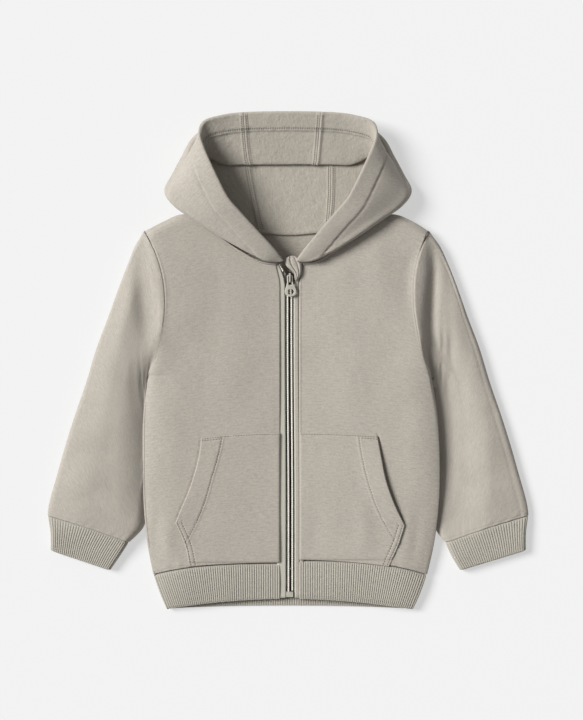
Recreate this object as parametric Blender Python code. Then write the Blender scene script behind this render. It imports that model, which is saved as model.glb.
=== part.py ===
"""A child's zip-through hooded fleece sweatshirt, laid flat on its back.

Tables are in millimetres, seen from above: X to the wearer's left, Y to the hood, Z up from the table.
Every cloth piece is a wall between an outer and an inner surface, and both come from one grid of points.
"""
import bpy
import bmesh
import numpy as np

MM = 0.001
CLOTH = 2.2              # fleece wall
RIB = 2.6                # doubled rib knit wall
SEAM = 0.2               # each piece stands back this far from a seam
CORNER = 0.4             # a sleeve stands back this much more at the shoulder tip and the underarm
ZIP_X = 1.7              # centre line of the zip
ZIP_EDGE = 9.8           # from the zip's centre line to the edge of a front panel
HEM_SEAM_Y = -209.0      # lower end of the front panels at the zip
NECK_Y = 101.0           # upper end of the front panels at the zip
HEM_END_Y = -246.0       # lower edge of the rib hem at the zip
SIDE_ROWS = 8            # rows of faces from the hem to the underarm
ARM_ROWS = 8             # rows of faces from the underarm to the shoulder tip
FOLD = 10.0              # reach of the round side fold on the front
LIFT = 7.0               # height of the body's side over the table
LIFT_REACH = 32.0        # the back panel comes down to the table this far in from its side
LIFT_END = 90.0          # the lift grows from the hem's edge over this height
ARM_DROP = (14.0, 24.0)  # the lift ends this far above the underarm, over this height
NECK_POINT_X = 91.0      # outside it a panel's upper edge is the shoulder seam, inside it the neck seam
NECK_FOLD = 16.0         # reach of the back panel's rise to its upper edge
HEM_CURVE = 6.0          # the back's hem seam is this much higher at the centre than at the sides
FRONT_COLUMNS = (0, .1, .25, .42, .58, .72, .84, .915, .955, .978, .993, 1)     # zip to side
BACK_COLUMNS = (0, .13, .3, .46, .625, .76, .87, .94, .975, .993, 1)            # centre to side

# Side seam, from the hem to the underarm, on each side of the wearer, with its height.
SIDE_SEAM = [
    # y, x right, x left, z
    (-221, 138, 142, 8.0),
    (-190, 145, 149, 10.0),
    (-150, 149, 153, 11.5),
    (-100, 150, 154, 12.0),
    (-50, 149, 151, 11.0),
    (-18, 145, 147, 8.0),
]
# Armhole seam, from the underarm to the shoulder tip, with its height on the front and on the back.
ARMHOLE = [
    # y, x right, x left, z front, z back
    (-18, 145, 147, 8.0, 8.0),
    (-12, 142, 145, 13.0, 3.2),
    (2, 136.5, 140.5, 16.5, 1.8),
    (30, 130, 134, 19.0, 1.2),
    (62, 127, 130, 19.5, 1.0),
    (90, 130, 131, 19.2, 1.0),
    (114, 138, 137, 17.5, 1.4),
    (128, 145.5, 143, 13.4, 3.0),
    (134, 149, 146, 8.0, 8.0),
]
# Upper edge of a front panel: the neck seam up to the neck point, then the shoulder seam.
FRONT_TOP = [
    # x, y, z, after the zip edge
    (27, 103, 13.6),
    (49, 114, 15.0),
    (68, 127, 15.6),
    (83, 140, 13.5),
    (92, 150, 8.0),
    (110, 152, 8.0),
    (130, 144, 8.0),
    (147, 134, 8.0),
]
# Upper edge of the back panel, from the centre back to the shoulder tip.
BACK_TOP = [
    # x, y, z
    (0, 131, 0.0),
    (28, 133, 0.0),
    (55, 138, 1.0),
    (76, 144, 4.5),
    (92, 150, 8.0),
    (110, 152, 8.0),
    (130, 144, 8.0),
    (147, 134, 8.0),
]
NECK_Z = 13.0            # height of the front's upper corner at the zip
# Height of the front's outer face at the zip, half way across and by the side fold.
FRONT_HEIGHT = [
    # y, zip, middle, side
    (-250, 9.0, 10.5, 12.0),
    (-209, 10.0, 13.0, 15.0),
    (-120, 11.0, 15.5, 20.0),
    (-20, 11.5, 16.5, 20.5),
    (60, 12.0, 17.5, 19.8),
    (101, 13.0, 17.5, 19.0),
    (150, 14.0, 17.5, 18.0),
]
# Rings of a sleeve after the armhole: the outer and the inner edge in plan, the bow of the ring towards
# the body, the heights of both edges, of the crown and of the shelf by the body, and the shelf's width.
SLEEVE = [
    # out x, out y, in x, in y, bow, z out, z in, crown, shelf, width
    (152, 129, 148.5, -21, 16, 7.5, 6.5, 19.0, 12.0, 3),
    (158, 119, 149.5, -27, 10, 7.0, 4.5, 10.0, 6.0, 8),
    (164, 104, 149, -38, 3, 6.5, 3.2, 14.5, 5.8, 12),
    (173, 81, 146, -52, 0, 6.0, 3.0, 17.0, 5.6, 15),
    (186, 45, 143, -70, 0, 6.0, 3.0, 18.0, 5.8, 15),
    (198, 13, 141.5, -88, 0, 6.0, 3.0, 18.0, 6.0, 12),
    (209, -23, 142, -104, 0, 6.0, 3.0, 17.5, 6.0, 12),
    (221, -58, 145, -119, 0, 6.0, 3.0, 17.0, 6.0, 10),
    (231, -90, 150, -135, 0, 6.0, 3.5, 16.5, 7.0, 7),
    (239, -120, 155, -152, 1, 6.0, 4.5, 16.0, 10.0, 4),
    (245, -145, 160, -172, 3, 6.0, 5.5, 15.0, 13.0, 2),
    (247, -160, 164, -188, 4, 6.0, 6.0, 13.5, 13.0, 0),
]
SLEEVE_EDGE = 8.0        # reach of a sleeve's round edges
SHELF_RISE = 26.0        # from the shelf's edge to the crown
# Rings of a cuff after its seam.
CUFF = [
    # out x, out y, in x, in y, crown
    (243.5, -179, 174, -204, 11.0),
    (243, -196, 182, -217, 10.0),
]
# Stations of the hood, from the centre front round to the middle of the crown. At each the cloth runs from
# the rim over the outline's fold and under it to the neck seam. The crown has one pleat.
HOOD = [
    # rim x, y, z | fold x, y, z, radius | floor z | neck x, y, z | pleat
    (6, 103, 18.5, 12.5, 103.5, 18.0, 0.8, 16.5, 14, 102.5, 15.2, 0.0),
    (16, 116, 26.0, 26.5, 105.5, 21.0, 1.6, 17.5, 27, 104.0, 15.8, 0.0),
    (32, 134, 32.0, 47.5, 115.0, 23.0, 2.4, 19.0, 48, 115.5, 17.0, 0.0),
    (49, 153, 37.0, 71.0, 128.5, 24.0, 3.0, 20.0, 68, 128.5, 17.6, 0.0),
    (61, 167, 40.0, 96.0, 145.0, 24.0, 3.4, 19.0, 83, 141.5, 16.0, 0.0),
    (71, 186, 41.0, 117.0, 160.0, 19.0, 4.0, 14.5, 91, 150.0, 10.6, 0.0),
    (79, 203, 40.0, 126.5, 175.0, 14.5, 4.4, 6.0, 84, 147.0, 9.2, 0.0),
    (86, 219, 36.0, 119.0, 192.0, 10.0, 4.4, 2.2, 72, 142.5, 8.0, 0.0),
    (90, 233, 31.0, 109.0, 211.0, 8.0, 4.0, 1.2, 60, 139.0, 6.4, 0.05),
    (87, 246, 25.0, 98.0, 230.0, 6.5, 3.2, 1.1, 49, 136.0, 5.0, 0.35),
    (70, 252.5, 20.0, 76.0, 246.0, 5.2, 2.6, 1.1, 39, 133.6, 3.9, 0.85),
    (46, 256, 17.5, 52.0, 249.5, 5.0, 2.4, 1.1, 28, 131.8, 3.8, 1.0),
    (0, 257, 17.0, 0.0, 250.5, 5.0, 2.4, 1.1, 0, 129.8, 3.8, 1.0),
]
PLEAT_Y = 204.0          # lower edge of the crown's pleat
PLEAT_Z = 9.6
PLEAT_RADIUS = 2.3
HOOD_PANEL_SEAM = 11     # row of the table where the side panels meet the centre panel
PANEL_GAP = 0.006        # half the gap between the hood's panels, in rows of the table
HOOD_SHIFT = (150, 45)   # below this y the hood moves over to the zip's centre line, over this height

# The rib hem's lower edge, in plan, and its heights.
HEM_SIDE = 140.0         # half width at which the tables below are reached
HEM_DRAW_IN = 0.11       # share of the width that the rib draws in at its lower edge
HEM_FRONT_DROP = 10.5    # of the front's lower edge from the zip to the side
HEM_BACK_Y = -253.5      # the back's lower edge at the centre
HEM_BACK_DROP = 3.0
HEM_SIDE_Y = -257.0      # the lower edge at the side folds

# Outer edge of a pocket, from the hem seam to its top.
POCKET_EDGE = [
    # y, x
    (-212, 103),
    (-190, 110),
    (-168, 119),
    (-150, 111),
    (-126, 100.5),
    (-98, 93),
    (-79, 91),
]
POCKET_TOP_Y = -75.0
POCKET_GAP = 0.45        # between the panel's face and the pocket's wall
POCKET_GAPE = 0.9        # more at the opening
POCKET_SIZE = (9, 7)     # rows and columns of points

TAPE = 0.8
TAPE_DEPTH = 3.1         # from the panel's outer face down to the top of the tape
TAPE_OUTER = 13.8        # from the zip's centre to the outer edge of a tape
# Inner edge of a tape, closed from the hem and open over the slider.
TAPE_INNER = [
    # y, x
    (-245, 0.3),
    (-200, 0.3),
    (-120, 0.3),
    (-30, 0.3),
    (40, 0.3),
    (78, 0.3),
    (84, 1.5),
    (92, 3.0),
    (100, 5.5),
]
CHAIN_Y = (-238.0, -200.0, -120.0, -30.0, 40.0, 79.0)
CHAIN_INNER = 0.2
CHAIN_HALF = 2.4
CHAIN_HEIGHT = 2.2
CHAIN_RISE = 0.3         # of the chain's underside over the top of the tape
BOX_LOW = (-3.6, -244.0) # the retainer box, in plan from the zip's centre
BOX_HIGH = (3.6, -238.5)
SLIDER_Y = (79.5, 91.5)
SLIDER_HALF = 4.3
PLATE = 1.3
BRIDGE_RISE = 3.4        # of the slider's bridge over its top plate
PULL_PIVOT_Y = 87.7      # the pull tab's cross bar, inside the bridge
PULL_PLATE = 1.3
PULL_GAP = 0.45          # between the top plate and the pull tab
PULL_HALF = [(1.4, 0.7), (2.5, -0.5), (2.8, -7.4), (5.4, -14.4), (5.6, -16.5), (4.6, -19.1), (2.4, -20.8)]
PULL_TIP = -21.3
PULL_SLOT = (1.35, -0.7, -9.3)                  # half width, upper and lower end
PULL_HOLE = (0.0, -15.9, 3.4, 2.3)              # centre and half sizes of the oval
GUARD_RISE = 0.5         # of the guard over the front panels at the zip
# Outline of the guard, in plan.
GUARD = [(3.2, 93.0), (-1.5, 97.5), (-3.0, 101.5), (-1.0, 106.0), (3.0, 108.0), (8.0, 106.5), (11.5, 101.0),
         (12.3, 94.0), (11.0, 87.0), (8.0, 82.0), (6.2, 84.0), (6.8, 90.0)]


def material(name, colour, roughness, metallic=0.0):
    """A Principled material of one colour."""
    made = bpy.data.materials.new(name)
    made.use_nodes = True
    shader = made.node_tree.nodes["Principled BSDF"]
    shader.inputs["Base Color"].default_value = (*colour, 1.0)
    shader.inputs["Roughness"].default_value = roughness
    shader.inputs["Metallic"].default_value = metallic
    return made


def spline(keys, values, at):
    """Smooth curve through rows of values: cubic pieces, each tangent a weighted mean of both slopes."""
    keys = np.asarray(keys, float)
    values = np.asarray(values, float).reshape(len(keys), -1)
    at = np.atleast_1d(np.asarray(at, float))
    step = np.diff(keys)[:, None]
    slope = np.diff(values, axis=0) / step
    middle = (slope[:-1] * step[1:] + slope[1:] * step[:-1]) / (step[1:] + step[:-1])
    tangent = np.vstack([slope[:1], middle, slope[-1:]])
    cell = np.clip(np.searchsorted(keys, at, side="right") - 1, 0, len(keys) - 2)
    width = step[cell]
    part = (at - keys[cell])[:, None] / width
    part2 = part * part
    part3 = part2 * part
    return ((2 * part3 - 3 * part2 + 1) * values[cell] + (part3 - 2 * part2 + part) * width * tangent[cell]
            + (3 * part2 - 2 * part3) * values[cell + 1] + (part3 - part2) * width * tangent[cell + 1])


def along(points, at, columns=2):
    """Points at given shares (0 to 1) of the chord length of a smooth curve; extra columns come too."""
    points = np.asarray(points, float)
    chord = np.linalg.norm(np.diff(points[:, :columns], axis=0), axis=1)
    keys = np.concatenate([[0.0], np.cumsum(chord)])
    return spline(keys / keys[-1], points, at)


def round_off(distance, reach):
    """Height share of a quarter round: 0 at an edge, 1 at the reach and beyond."""
    share = np.clip(distance / reach, 0.0, 1.0)
    return np.sqrt(1.0 - (1.0 - share) ** 2)


def ease(share):
    """Smooth step from 0 to 1."""
    share = np.clip(share, 0.0, 1.0)
    return share * share * (3.0 - 2.0 * share)


def unit(vectors):
    """Vectors made one long."""
    return vectors / np.maximum(np.linalg.norm(vectors, axis=-1, keepdims=True), 1e-9)


def grid_normals(grid, ring=False):
    """Normals of a grid of points: the cross product of its differences along and across."""
    if ring:
        padded = np.concatenate([grid[:, -1:], grid, grid[:, :1]], axis=1)
        across = padded[:, 2:] - padded[:, :-2]
    else:
        across = np.gradient(grid, axis=1)
    return unit(np.cross(across, np.gradient(grid, axis=0)))


def shell(name, outer, inner, finish, ring=False):
    """A closed wall between two grids of points; a ring's last column joins its first."""
    rows, columns = outer.shape[:2]
    index = np.arange(rows * columns).reshape(rows, columns)
    if ring:
        index = np.concatenate([index, index[:, :1]], axis=1)
    shift = rows * columns
    faces = []

    def strip(first, second):
        quads = np.stack([first[:-1], first[1:], second[1:], second[:-1]], axis=-1)
        faces.extend(quads.reshape(-1, 4).tolist())

    for row in range(rows - 1):
        strip(index[row], index[row + 1])
        strip(index[row + 1] + shift, index[row] + shift)
    strip(index[0] + shift, index[0])
    strip(index[-1], index[-1] + shift)
    if not ring:
        strip(index[:, 0], index[:, 0] + shift)
        strip(index[:, -1] + shift, index[:, -1])
    points = np.concatenate([outer.reshape(-1, 3), inner.reshape(-1, 3)]) * MM
    mesh = bpy.data.meshes.new(name)
    mesh.from_pydata(points.tolist(), [], faces)
    made = bmesh.new()
    made.from_mesh(mesh)
    bmesh.ops.recalc_face_normals(made, faces=made.faces)
    made.to_mesh(mesh)
    made.free()
    mesh.materials.append(finish)
    mesh.shade_smooth()
    piece = bpy.data.objects.new(name, mesh)
    garment.objects.link(piece)


def zip_edge(side):
    """From the middle of the garment to the edge of a front panel on one side."""
    return ZIP_EDGE + side * ZIP_X


def side_width(y, side):
    """Half width of the body at a height y on one side: the side seam, then the armhole."""
    column = 1 if side < 0 else 2
    rows = [(row[0], row[column]) for row in SIDE_SEAM] + [(row[0], row[column]) for row in ARMHOLE[1:]]
    table = np.array(rows, float)
    return spline(table[:, 0], table[:, 1], np.asarray(y, float).ravel()).reshape(np.shape(y))


def side_edge(side, back=False):
    """Points of one side from the hem to the shoulder tip: x, y, z."""
    column = 1 if side < 0 else 2
    seam = [(side * row[column], row[0], row[3]) for row in SIDE_SEAM]
    arm = [(side * row[column], row[0], row[4 if back else 3]) for row in ARMHOLE]
    low = along(seam, np.linspace(0, 1, SIDE_ROWS + 1))
    high = along(arm, (1 - np.cos(np.pi * np.arange(ARM_ROWS + 1) / ARM_ROWS)) / 2)
    return np.vstack([low, high[1:]])


def ring_directions(points):
    """Outward directions of an upright ring, square to its run and to X."""
    run = np.roll(points, -1, axis=0) - np.roll(points, 1, axis=0)
    out = np.cross(run, (1.0, 0.0, 0.0))
    middle = points.mean(axis=0)
    out *= np.sign(((points - middle) * out).sum(axis=1, keepdims=True))
    return unit(out)


def armhole_ring(side):
    """The armhole seam from the shoulder tip down the front and up the back, and its outward directions."""
    front = side_edge(side)[SIDE_ROWS:]
    back = side_edge(side, back=True)[SIDE_ROWS:]
    points = np.vstack([front[::-1], back[1:-1]])
    return points, ring_directions(points)


def edge_directions(side, back):
    """Outward directions along a panel's side: level at the side fold, the ring's own at the armhole."""
    points, directions = armhole_ring(side)
    half = ARM_ROWS + 1
    arm = directions[:half][::-1]
    if back:
        arm = np.vstack([directions[ARM_ROWS:], directions[:1]])
    low = np.tile((float(side), 0.0, 0.0), (SIDE_ROWS, 1))
    return np.vstack([low, arm])


def front_height(x, y, side_gap, top_gap, side_z, top_z):
    """Height of the front's outer face: a plateau, rounded down to its side and upper edges."""
    table = np.array(FRONT_HEIGHT, float)
    heights = spline(table[:, 0], table[:, 1:], y.ravel()).reshape(*y.shape, 3)
    from_zip = np.abs(x - ZIP_X) - ZIP_EDGE
    share = np.clip(from_zip / (from_zip + side_gap), 0, 1)
    low = heights[..., 0] + (heights[..., 1] - heights[..., 0]) * ease(share * 2)
    plateau = low + (heights[..., 2] - heights[..., 1]) * ease(share * 2 - 1)
    z = side_z + (plateau - side_z) * round_off(side_gap, FOLD)
    return top_z + (z - top_z) * round_off(top_gap, FOLD)


def panel_plan(bottom, top, left, right):
    """Plan of a panel: straight rows from left to right, bent to the lower edge at the bottom and, in the
    cube of the height share, to the upper edge at the top."""
    rows = len(left)
    across = np.linalg.norm(np.diff(bottom[:, :2], axis=0), axis=1)
    share = np.concatenate([[0.0], np.cumsum(across)])[None, :, None]
    share = share / share[0, -1, 0]
    height = np.linspace(0, 1, rows)[:, None, None]
    straight = left[:, None, :2] * (1 - share) + right[:, None, :2] * share
    low_bend = bottom[None, :, :2] - straight[:1]
    high_bend = top[None, :, :2] - straight[-1:]
    return straight + (1 - height) ** 3 * low_bend + height ** 3 * high_bend


def front_grid(side):
    """Outer face of a front panel, from the zip to the side and from the hem to the neck."""
    share = np.array(FRONT_COLUMNS, float)
    edge = side_edge(side)
    rise = (edge[:, 1] - edge[0, 1]) / (edge[-1, 1] - edge[0, 1])
    zip_x = np.full(len(edge), side * zip_edge(side))
    left = np.column_stack([zip_x, HEM_SEAM_Y + (NECK_Y - HEM_SEAM_Y) * rise])
    bottom = np.column_stack([left[0, 0] + (edge[0, 0] - left[0, 0]) * share,
                              HEM_SEAM_Y + (edge[0, 1] - HEM_SEAM_Y) * share ** 3])
    seam = [(side * row[0], row[1], row[2]) for row in FRONT_TOP[:-1]]
    top = along([(zip_x[0], NECK_Y, NECK_Z), *seam, tuple(edge[-1])], share)
    plan = panel_plan(bottom, top, left, edge[:, :2])
    half_width = np.abs(edge[:, 0])[:, None] - zip_edge(side)
    side_gap = (1 - share)[None, :] * half_width
    top_gap = (top[None, :, 1] - plan[..., 1]) * np.ones_like(side_gap)
    z = front_height(plan[..., 0], plan[..., 1], side_gap, top_gap, edge[:, 2][:, None], top[:, 2][None, :])
    return np.dstack([plan, z])


def back_grid():
    """Outer face of the back panel, from the wearer's right to the left and from the hem to the neck."""
    half = np.array(BACK_COLUMNS, float)
    share = np.concatenate([-half[:0:-1], half])
    right_edge = side_edge(-1, back=True)
    left_edge = side_edge(1, back=True)
    unit_share = (share + 1) / 2
    bottom = right_edge[0] + (left_edge[0] - right_edge[0]) * unit_share[:, None]
    bottom[:, 1] += HEM_CURVE * (1 - share ** 2)
    tops = []
    for side, edge in ((-1, right_edge), (1, left_edge)):
        points = [(side * row[0], row[1], row[2]) for row in BACK_TOP[:-1]] + [tuple(edge[-1])]
        tops.append(along(points, half))
    top = np.vstack([tops[0][:0:-1], tops[1]])
    plan = panel_plan(bottom, top, right_edge[:, :2], left_edge[:, :2])
    reach = np.where(share < 0, np.abs(right_edge[:, :1]), left_edge[:, :1])
    side_gap = (1 - np.abs(share))[None, :] * reach
    side_z = np.where(share < 0, right_edge[:, 2:], left_edge[:, 2:])
    top_gap = top[None, :, 1] - plan[..., 1]
    underarm = right_edge[SIDE_ROWS, 1]
    below = ease((underarm + ARM_DROP[0] - plan[..., 1]) / ARM_DROP[1])
    lift = LIFT * ease((plan[..., 1] - HEM_END_Y) / LIFT_END) * below
    lift = np.minimum(lift, side_z)
    side_fold = 4 + FOLD * (1 - below)
    z = lift * ease(1 - side_gap / LIFT_REACH) + (side_z - lift) * (1 - round_off(side_gap, side_fold))
    z = z + (top[:, 2][None, :] - z) * (1 - round_off(top_gap, NECK_FOLD))
    return np.dstack([plan, np.maximum(z, 0.0)])


def level(normals, axis):
    """Normals without their part along an axis."""
    axis = unit(np.asarray(axis, float))
    return unit(normals - (normals @ axis)[..., None] * axis)


def front_panel(side):
    """Outer and inner face of a front panel, with shared directions on every seam."""
    outer = front_grid(side)
    normals = grid_normals(outer)
    normals *= np.sign(normals[3, 4, 2])
    normals[0] = level(normals[0], (0, 1, 0))
    shoulder = np.abs(outer[-1, :, 0]) > NECK_POINT_X
    normals[-1][shoulder] = (0, 1, 0)
    normals[-1][~shoulder] = (0, 0, 1)
    normals[:, -1] = edge_directions(side, back=False)
    outer[:SIDE_ROWS + 1, -1, 2] += SEAM
    outer[SIDE_ROWS:, -1, 0] -= side * SEAM
    outer[-1, shoulder, 2] += SEAM
    return outer, outer - normals * CLOTH


def back_panel(finish):
    """The back panel, lying on the table."""
    outer = back_grid()
    normals = grid_normals(outer)
    normals *= -np.sign(normals[4, 8, 2])
    normals[0] = level(normals[0], (0, 1, 0))
    shoulder = np.abs(outer[-1, :, 0]) > NECK_POINT_X
    normals[-1][shoulder] = (0, 1, 0)
    normals[-1][~shoulder] = (0, 0, -1)
    normals[:, 0] = edge_directions(-1, back=True)
    normals[:, -1] = edge_directions(1, back=True)
    for column, side in ((0, -1), (-1, 1)):
        outer[:SIDE_ROWS + 1, column, 2] -= SEAM
        outer[SIDE_ROWS:, column, 0] -= side * SEAM
    outer[-1, shoulder, 2] -= SEAM
    shell("back_panel", outer, outer - normals * CLOTH, finish)
    return outer


def sleeve_rings(side):
    """Rings of a sleeve from the armhole to the cuff seam, each from its outer edge over the top to its
    inner edge and back underneath."""
    seam, directions = armhole_ring(side)
    share = (1 - np.cos(np.pi * np.arange(ARM_ROWS + 1) / ARM_ROWS)) / 2
    rings = [seam]
    for out_x, out_y, in_x, in_y, bow, z_out, z_in, crown, shelf, width in SLEEVE:
        outer = np.array((out_x, out_y))
        inner = np.array((in_x, in_y))
        run = inner - outer
        length = np.linalg.norm(run)
        towards_body = np.array((-1.0, 0.0))
        plan = outer + run * share[:, None] + towards_body * (4 * bow * share * (1 - share))[:, None]
        wider = side_width(plan[:, 1], side) - side_width(plan[:, 1], -1)
        plan[:, 0] += wider * ease((180 - plan[:, 0]) / 30)
        from_inner = length * (1 - share)
        edge_z = z_out + (z_in - z_out) * share
        gap = length * np.minimum(share, 1 - share)
        top = shelf + (crown - shelf) * ease((from_inner - width) / SHELF_RISE)
        over = edge_z + (top - edge_z) * round_off(gap, SLEEVE_EDGE)
        under = edge_z * (1 - round_off(gap, SLEEVE_EDGE))
        upper = np.column_stack([side * plan[:, 0], plan[:, 1], over])
        lower = np.column_stack([side * plan[:, 0], plan[:, 1], under])
        rings.append(np.vstack([upper, lower[-2:0:-1]]))
    return np.array(rings), directions


def sleeve(side, name, finish):
    """One sleeve, a tube set back from the armhole seam."""
    rings, directions = sleeve_rings(side)
    normals = grid_normals(rings, ring=True)
    middle = rings.mean(axis=1, keepdims=True)
    normals *= np.sign(((rings - middle) * normals).sum(axis=(1, 2), keepdims=True))
    normals[1:, ARM_ROWS + 1:] = unit(normals[1:, ARM_ROWS + 1:] + (0.0, 0.0, -1.2))
    normals[0] = directions
    axis = middle[-1, 0] - middle[-2, 0]
    normals[-1] = level(normals[-1], axis)
    rings[0, :, 0] += side * SEAM
    for corner in (0, ARM_ROWS):
        rings[0, corner, 0] += side * CORNER
        rings[0, corner - 1, 0] += side * CORNER / 2
        rings[0, corner + 1, 0] += side * CORNER / 2
    shell(name, rings, rings - normals * CLOTH, finish, ring=True)
    return rings[-1], normals[-1], unit(axis)


def cuff(side, name, last_ring, last_normals, axis, finish):
    """One doubled rib cuff, from the sleeve's last ring to its own flat mouth."""
    share = (1 - np.cos(np.pi * np.arange(ARM_ROWS + 1) / ARM_ROWS)) / 2
    rings = [last_ring + axis * 2 * SEAM]
    for out_x, out_y, in_x, in_y, crown in CUFF:
        outer = np.array((out_x, out_y))
        run = np.array((in_x, in_y)) - outer
        plan = outer + run * share[:, None]
        gap = np.linalg.norm(run) * np.minimum(share, 1 - share)
        over = crown / 2 * (1 + round_off(gap, crown / 2))
        under = crown / 2 * (1 - round_off(gap, crown / 2))
        upper = np.column_stack([side * plan[:, 0], plan[:, 1], over])
        lower = np.column_stack([side * plan[:, 0], plan[:, 1], under])
        rings.append(np.vstack([upper, lower[-2:0:-1]]))
    rings = np.array(rings)
    normals = grid_normals(rings, ring=True)
    middle = rings.mean(axis=1, keepdims=True)
    normals *= np.sign(((rings - middle) * normals).sum(axis=(1, 2), keepdims=True))
    normals[0] = last_normals
    shell(name, rings, rings - normals * RIB, finish, ring=True)


def hem(front_right, back, front_left, finish):
    """The rib hem: one band from zip edge to zip edge, round both sides and the back."""
    seam = np.vstack([front_right[0][:-1], back[0], front_left[0][::-1][1:]])
    joins = (len(front_right[0]) - 1, len(front_right[0]) + len(back[0]) - 2)
    seam[joins[0], 2] += SEAM
    seam[joins[1], 2] += SEAM
    on_front = np.ones(len(seam), bool)
    on_front[joins[0]:joins[1] + 1] = False
    reach = np.abs(seam[:, 0]) / HEM_SIDE
    end = seam.copy()
    end[:, 0] *= 1 - HEM_DRAW_IN * ease(reach * 1.2 - 0.2)
    front_y = HEM_END_Y - HEM_FRONT_DROP * reach ** 1.7
    end[:, 1] = np.where(on_front, front_y, HEM_BACK_Y - HEM_BACK_DROP * reach ** 2)
    end[:, 2] = np.where(on_front, 0.72 * seam[:, 2] + 1.8, seam[:, 2] * 0.6)
    end[joins[0], 1] = end[joins[1], 1] = HEM_SIDE_Y
    start = seam - (0, 2 * SEAM, 0)
    outer = np.array([start, (start + end) / 2, end])
    normals = grid_normals(outer)
    above = outer[..., 2] - outer[..., 2].mean()
    normals *= np.sign((above * normals[..., 2]).sum())
    normals[0] = level(normals[0], (0, 1, 0))
    shell("hem_rib", outer, outer - normals * RIB, finish)


def hood_lines():
    """Control points of the hood's lines, rim to neck, at each station of the half hood."""
    lines = []
    for row in HOOD:
        rim = np.array(row[0:3], float)
        fold = np.array(row[3:6], float)
        radius, floor_z = row[6], row[7]
        neck = np.array(row[8:11], float)
        pleat = row[11]
        inward = (neck - fold) * (1, 1, 0)
        inward = inward / max(np.linalg.norm(inward), 6.0)
        up = np.array((0.0, 0.0, 1.0))
        fold_top = fold + inward * radius * 0.8 + up * radius
        fold_low = fold + inward * radius * 0.8 - up * radius
        fold_low[2] = max(fold_low[2], CLOTH / 2)
        floor = fold * 0.45 + neck * 0.55
        floor[2] = floor_z
        straight = [rim + (fold_top - rim) * share + up * 2.2 * radius / 4 * np.sin(np.pi * share)
                    for share in (0.22, 0.45, 0.62, 0.8)]
        edge = np.array((rim[0] * 0.94, PLEAT_Y, PLEAT_Z))
        back_in = np.array((0.0, PLEAT_RADIUS, 0.0))
        pleated = [rim + (edge - rim) * 0.55,
                   edge + back_in + up * PLEAT_RADIUS,
                   edge,
                   edge + back_in - up * PLEAT_RADIUS]
        crown = [a * (1 - pleat) + b * pleat for a, b in zip(straight, pleated)]
        lines.append([rim, *crown, fold_top, fold, fold_low, floor, neck])
    return np.array(lines)


def hood_surface():
    """Middle surface of the half hood: smooth along each line, then smooth from line to line."""
    lines = hood_lines()
    knots = np.array([0, 1.2, 2.2, 2.8, 3.4, 5.0, 5.6, 6.2, 7.6, 9.0])
    at = np.array([0, .7, 1.4, 2.2, 2.5, 2.8, 3.1, 3.4, 4.2, 5.0, 5.3, 5.6, 5.9, 6.2, 7.1, 8.1, 9.0])
    smooth = np.array([spline(knots, line, at) for line in lines])
    smooth[..., 2] = np.maximum(smooth[..., 2], CLOTH / 2)
    return smooth


def hood(finish):
    """The three panels of the hood."""
    half = hood_surface()
    whole = np.vstack([half * (-1, 1, 1), half[-2::-1]])
    whole[..., 0] += ZIP_X * ease((HOOD_SHIFT[0] - whole[..., 1]) / HOOD_SHIFT[1])
    normals = grid_normals(whole)
    last = len(whole) - 1
    spans = {
        "hood_right_side": (0, HOOD_PANEL_SEAM),
        "hood_centre": (HOOD_PANEL_SEAM, last - HOOD_PANEL_SEAM),
        "hood_left_side": (last - HOOD_PANEL_SEAM, last),
    }
    for name, (first, end) in spans.items():
        keys = np.arange(first, end + 1, dtype=float)
        if name == "hood_centre":
            keys = np.linspace(first, end, 5)
        keys[0] += PANEL_GAP if first else 0.0
        keys[-1] -= PANEL_GAP if end < last else 0.0
        columns = np.arange(len(whole))
        flat = spline(columns, whole.reshape(len(whole), -1), keys).reshape(len(keys), -1, 3)
        out = unit(spline(columns, normals.reshape(len(whole), -1), keys).reshape(len(keys), -1, 3))
        shell(name, flat + out * CLOTH / 2, flat - out * CLOTH / 2, finish)


def pocket(side, name, finish):
    """One half of the split pocket, made from the front's own face, moved out."""
    table = np.array(POCKET_EDGE, float)
    rows, columns = POCKET_SIZE
    rise = np.linspace(0, 1, rows)
    y_edge = table[0, 0] + (table[-1, 0] - table[0, 0]) * rise
    x_edge = np.interp(y_edge, table[:, 0], table[:, 1])
    share = np.linspace(0, 1, columns)
    x_zip = zip_edge(side) + 0.5
    x = x_zip + (x_edge[:, None] - x_zip) * share
    low_y = HEM_SEAM_Y + 1
    y_zip = low_y + (POCKET_TOP_Y - low_y) * rise
    y = y_zip[:, None] + (y_edge - y_zip)[:, None] * share
    side_z = SIDE_SEAM[2][3]
    z = front_height(side * x, y, side_width(y, side) - x, np.full_like(x, FOLD), side_z, 0.0)
    face = np.dstack([side * x, y, z])
    normals = grid_normals(face)
    normals *= np.sign(normals[3, 3, 2])
    opening = np.sin(np.pi * np.clip(rise * 1.4 - 0.4, 0, 1))
    gape = POCKET_GAP + POCKET_GAPE * opening[:, None] * share ** 3
    inner = face + normals * gape[..., None]
    shell(name, inner + normals * CLOTH, inner, finish)


def centre_height(y):
    """Height of the front panels' outer face along the zip."""
    table = np.array(FRONT_HEIGHT, float)
    return spline(table[:, 0], table[:, 1], y)[:, 0]


def zip_tape(side, name, finish):
    """One zip tape under the panels' edge, spread where the zip is open at the neck."""
    table = np.array(TAPE_INNER)
    top = centre_height(table[:, 0]) - TAPE_DEPTH
    upper = np.array([[(ZIP_X + side * x, y, z) for x in (inner, TAPE_OUTER)]
                      for (y, inner), z in zip(table, top)])
    shell(name, upper, upper - (0, 0, TAPE), finish)


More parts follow.
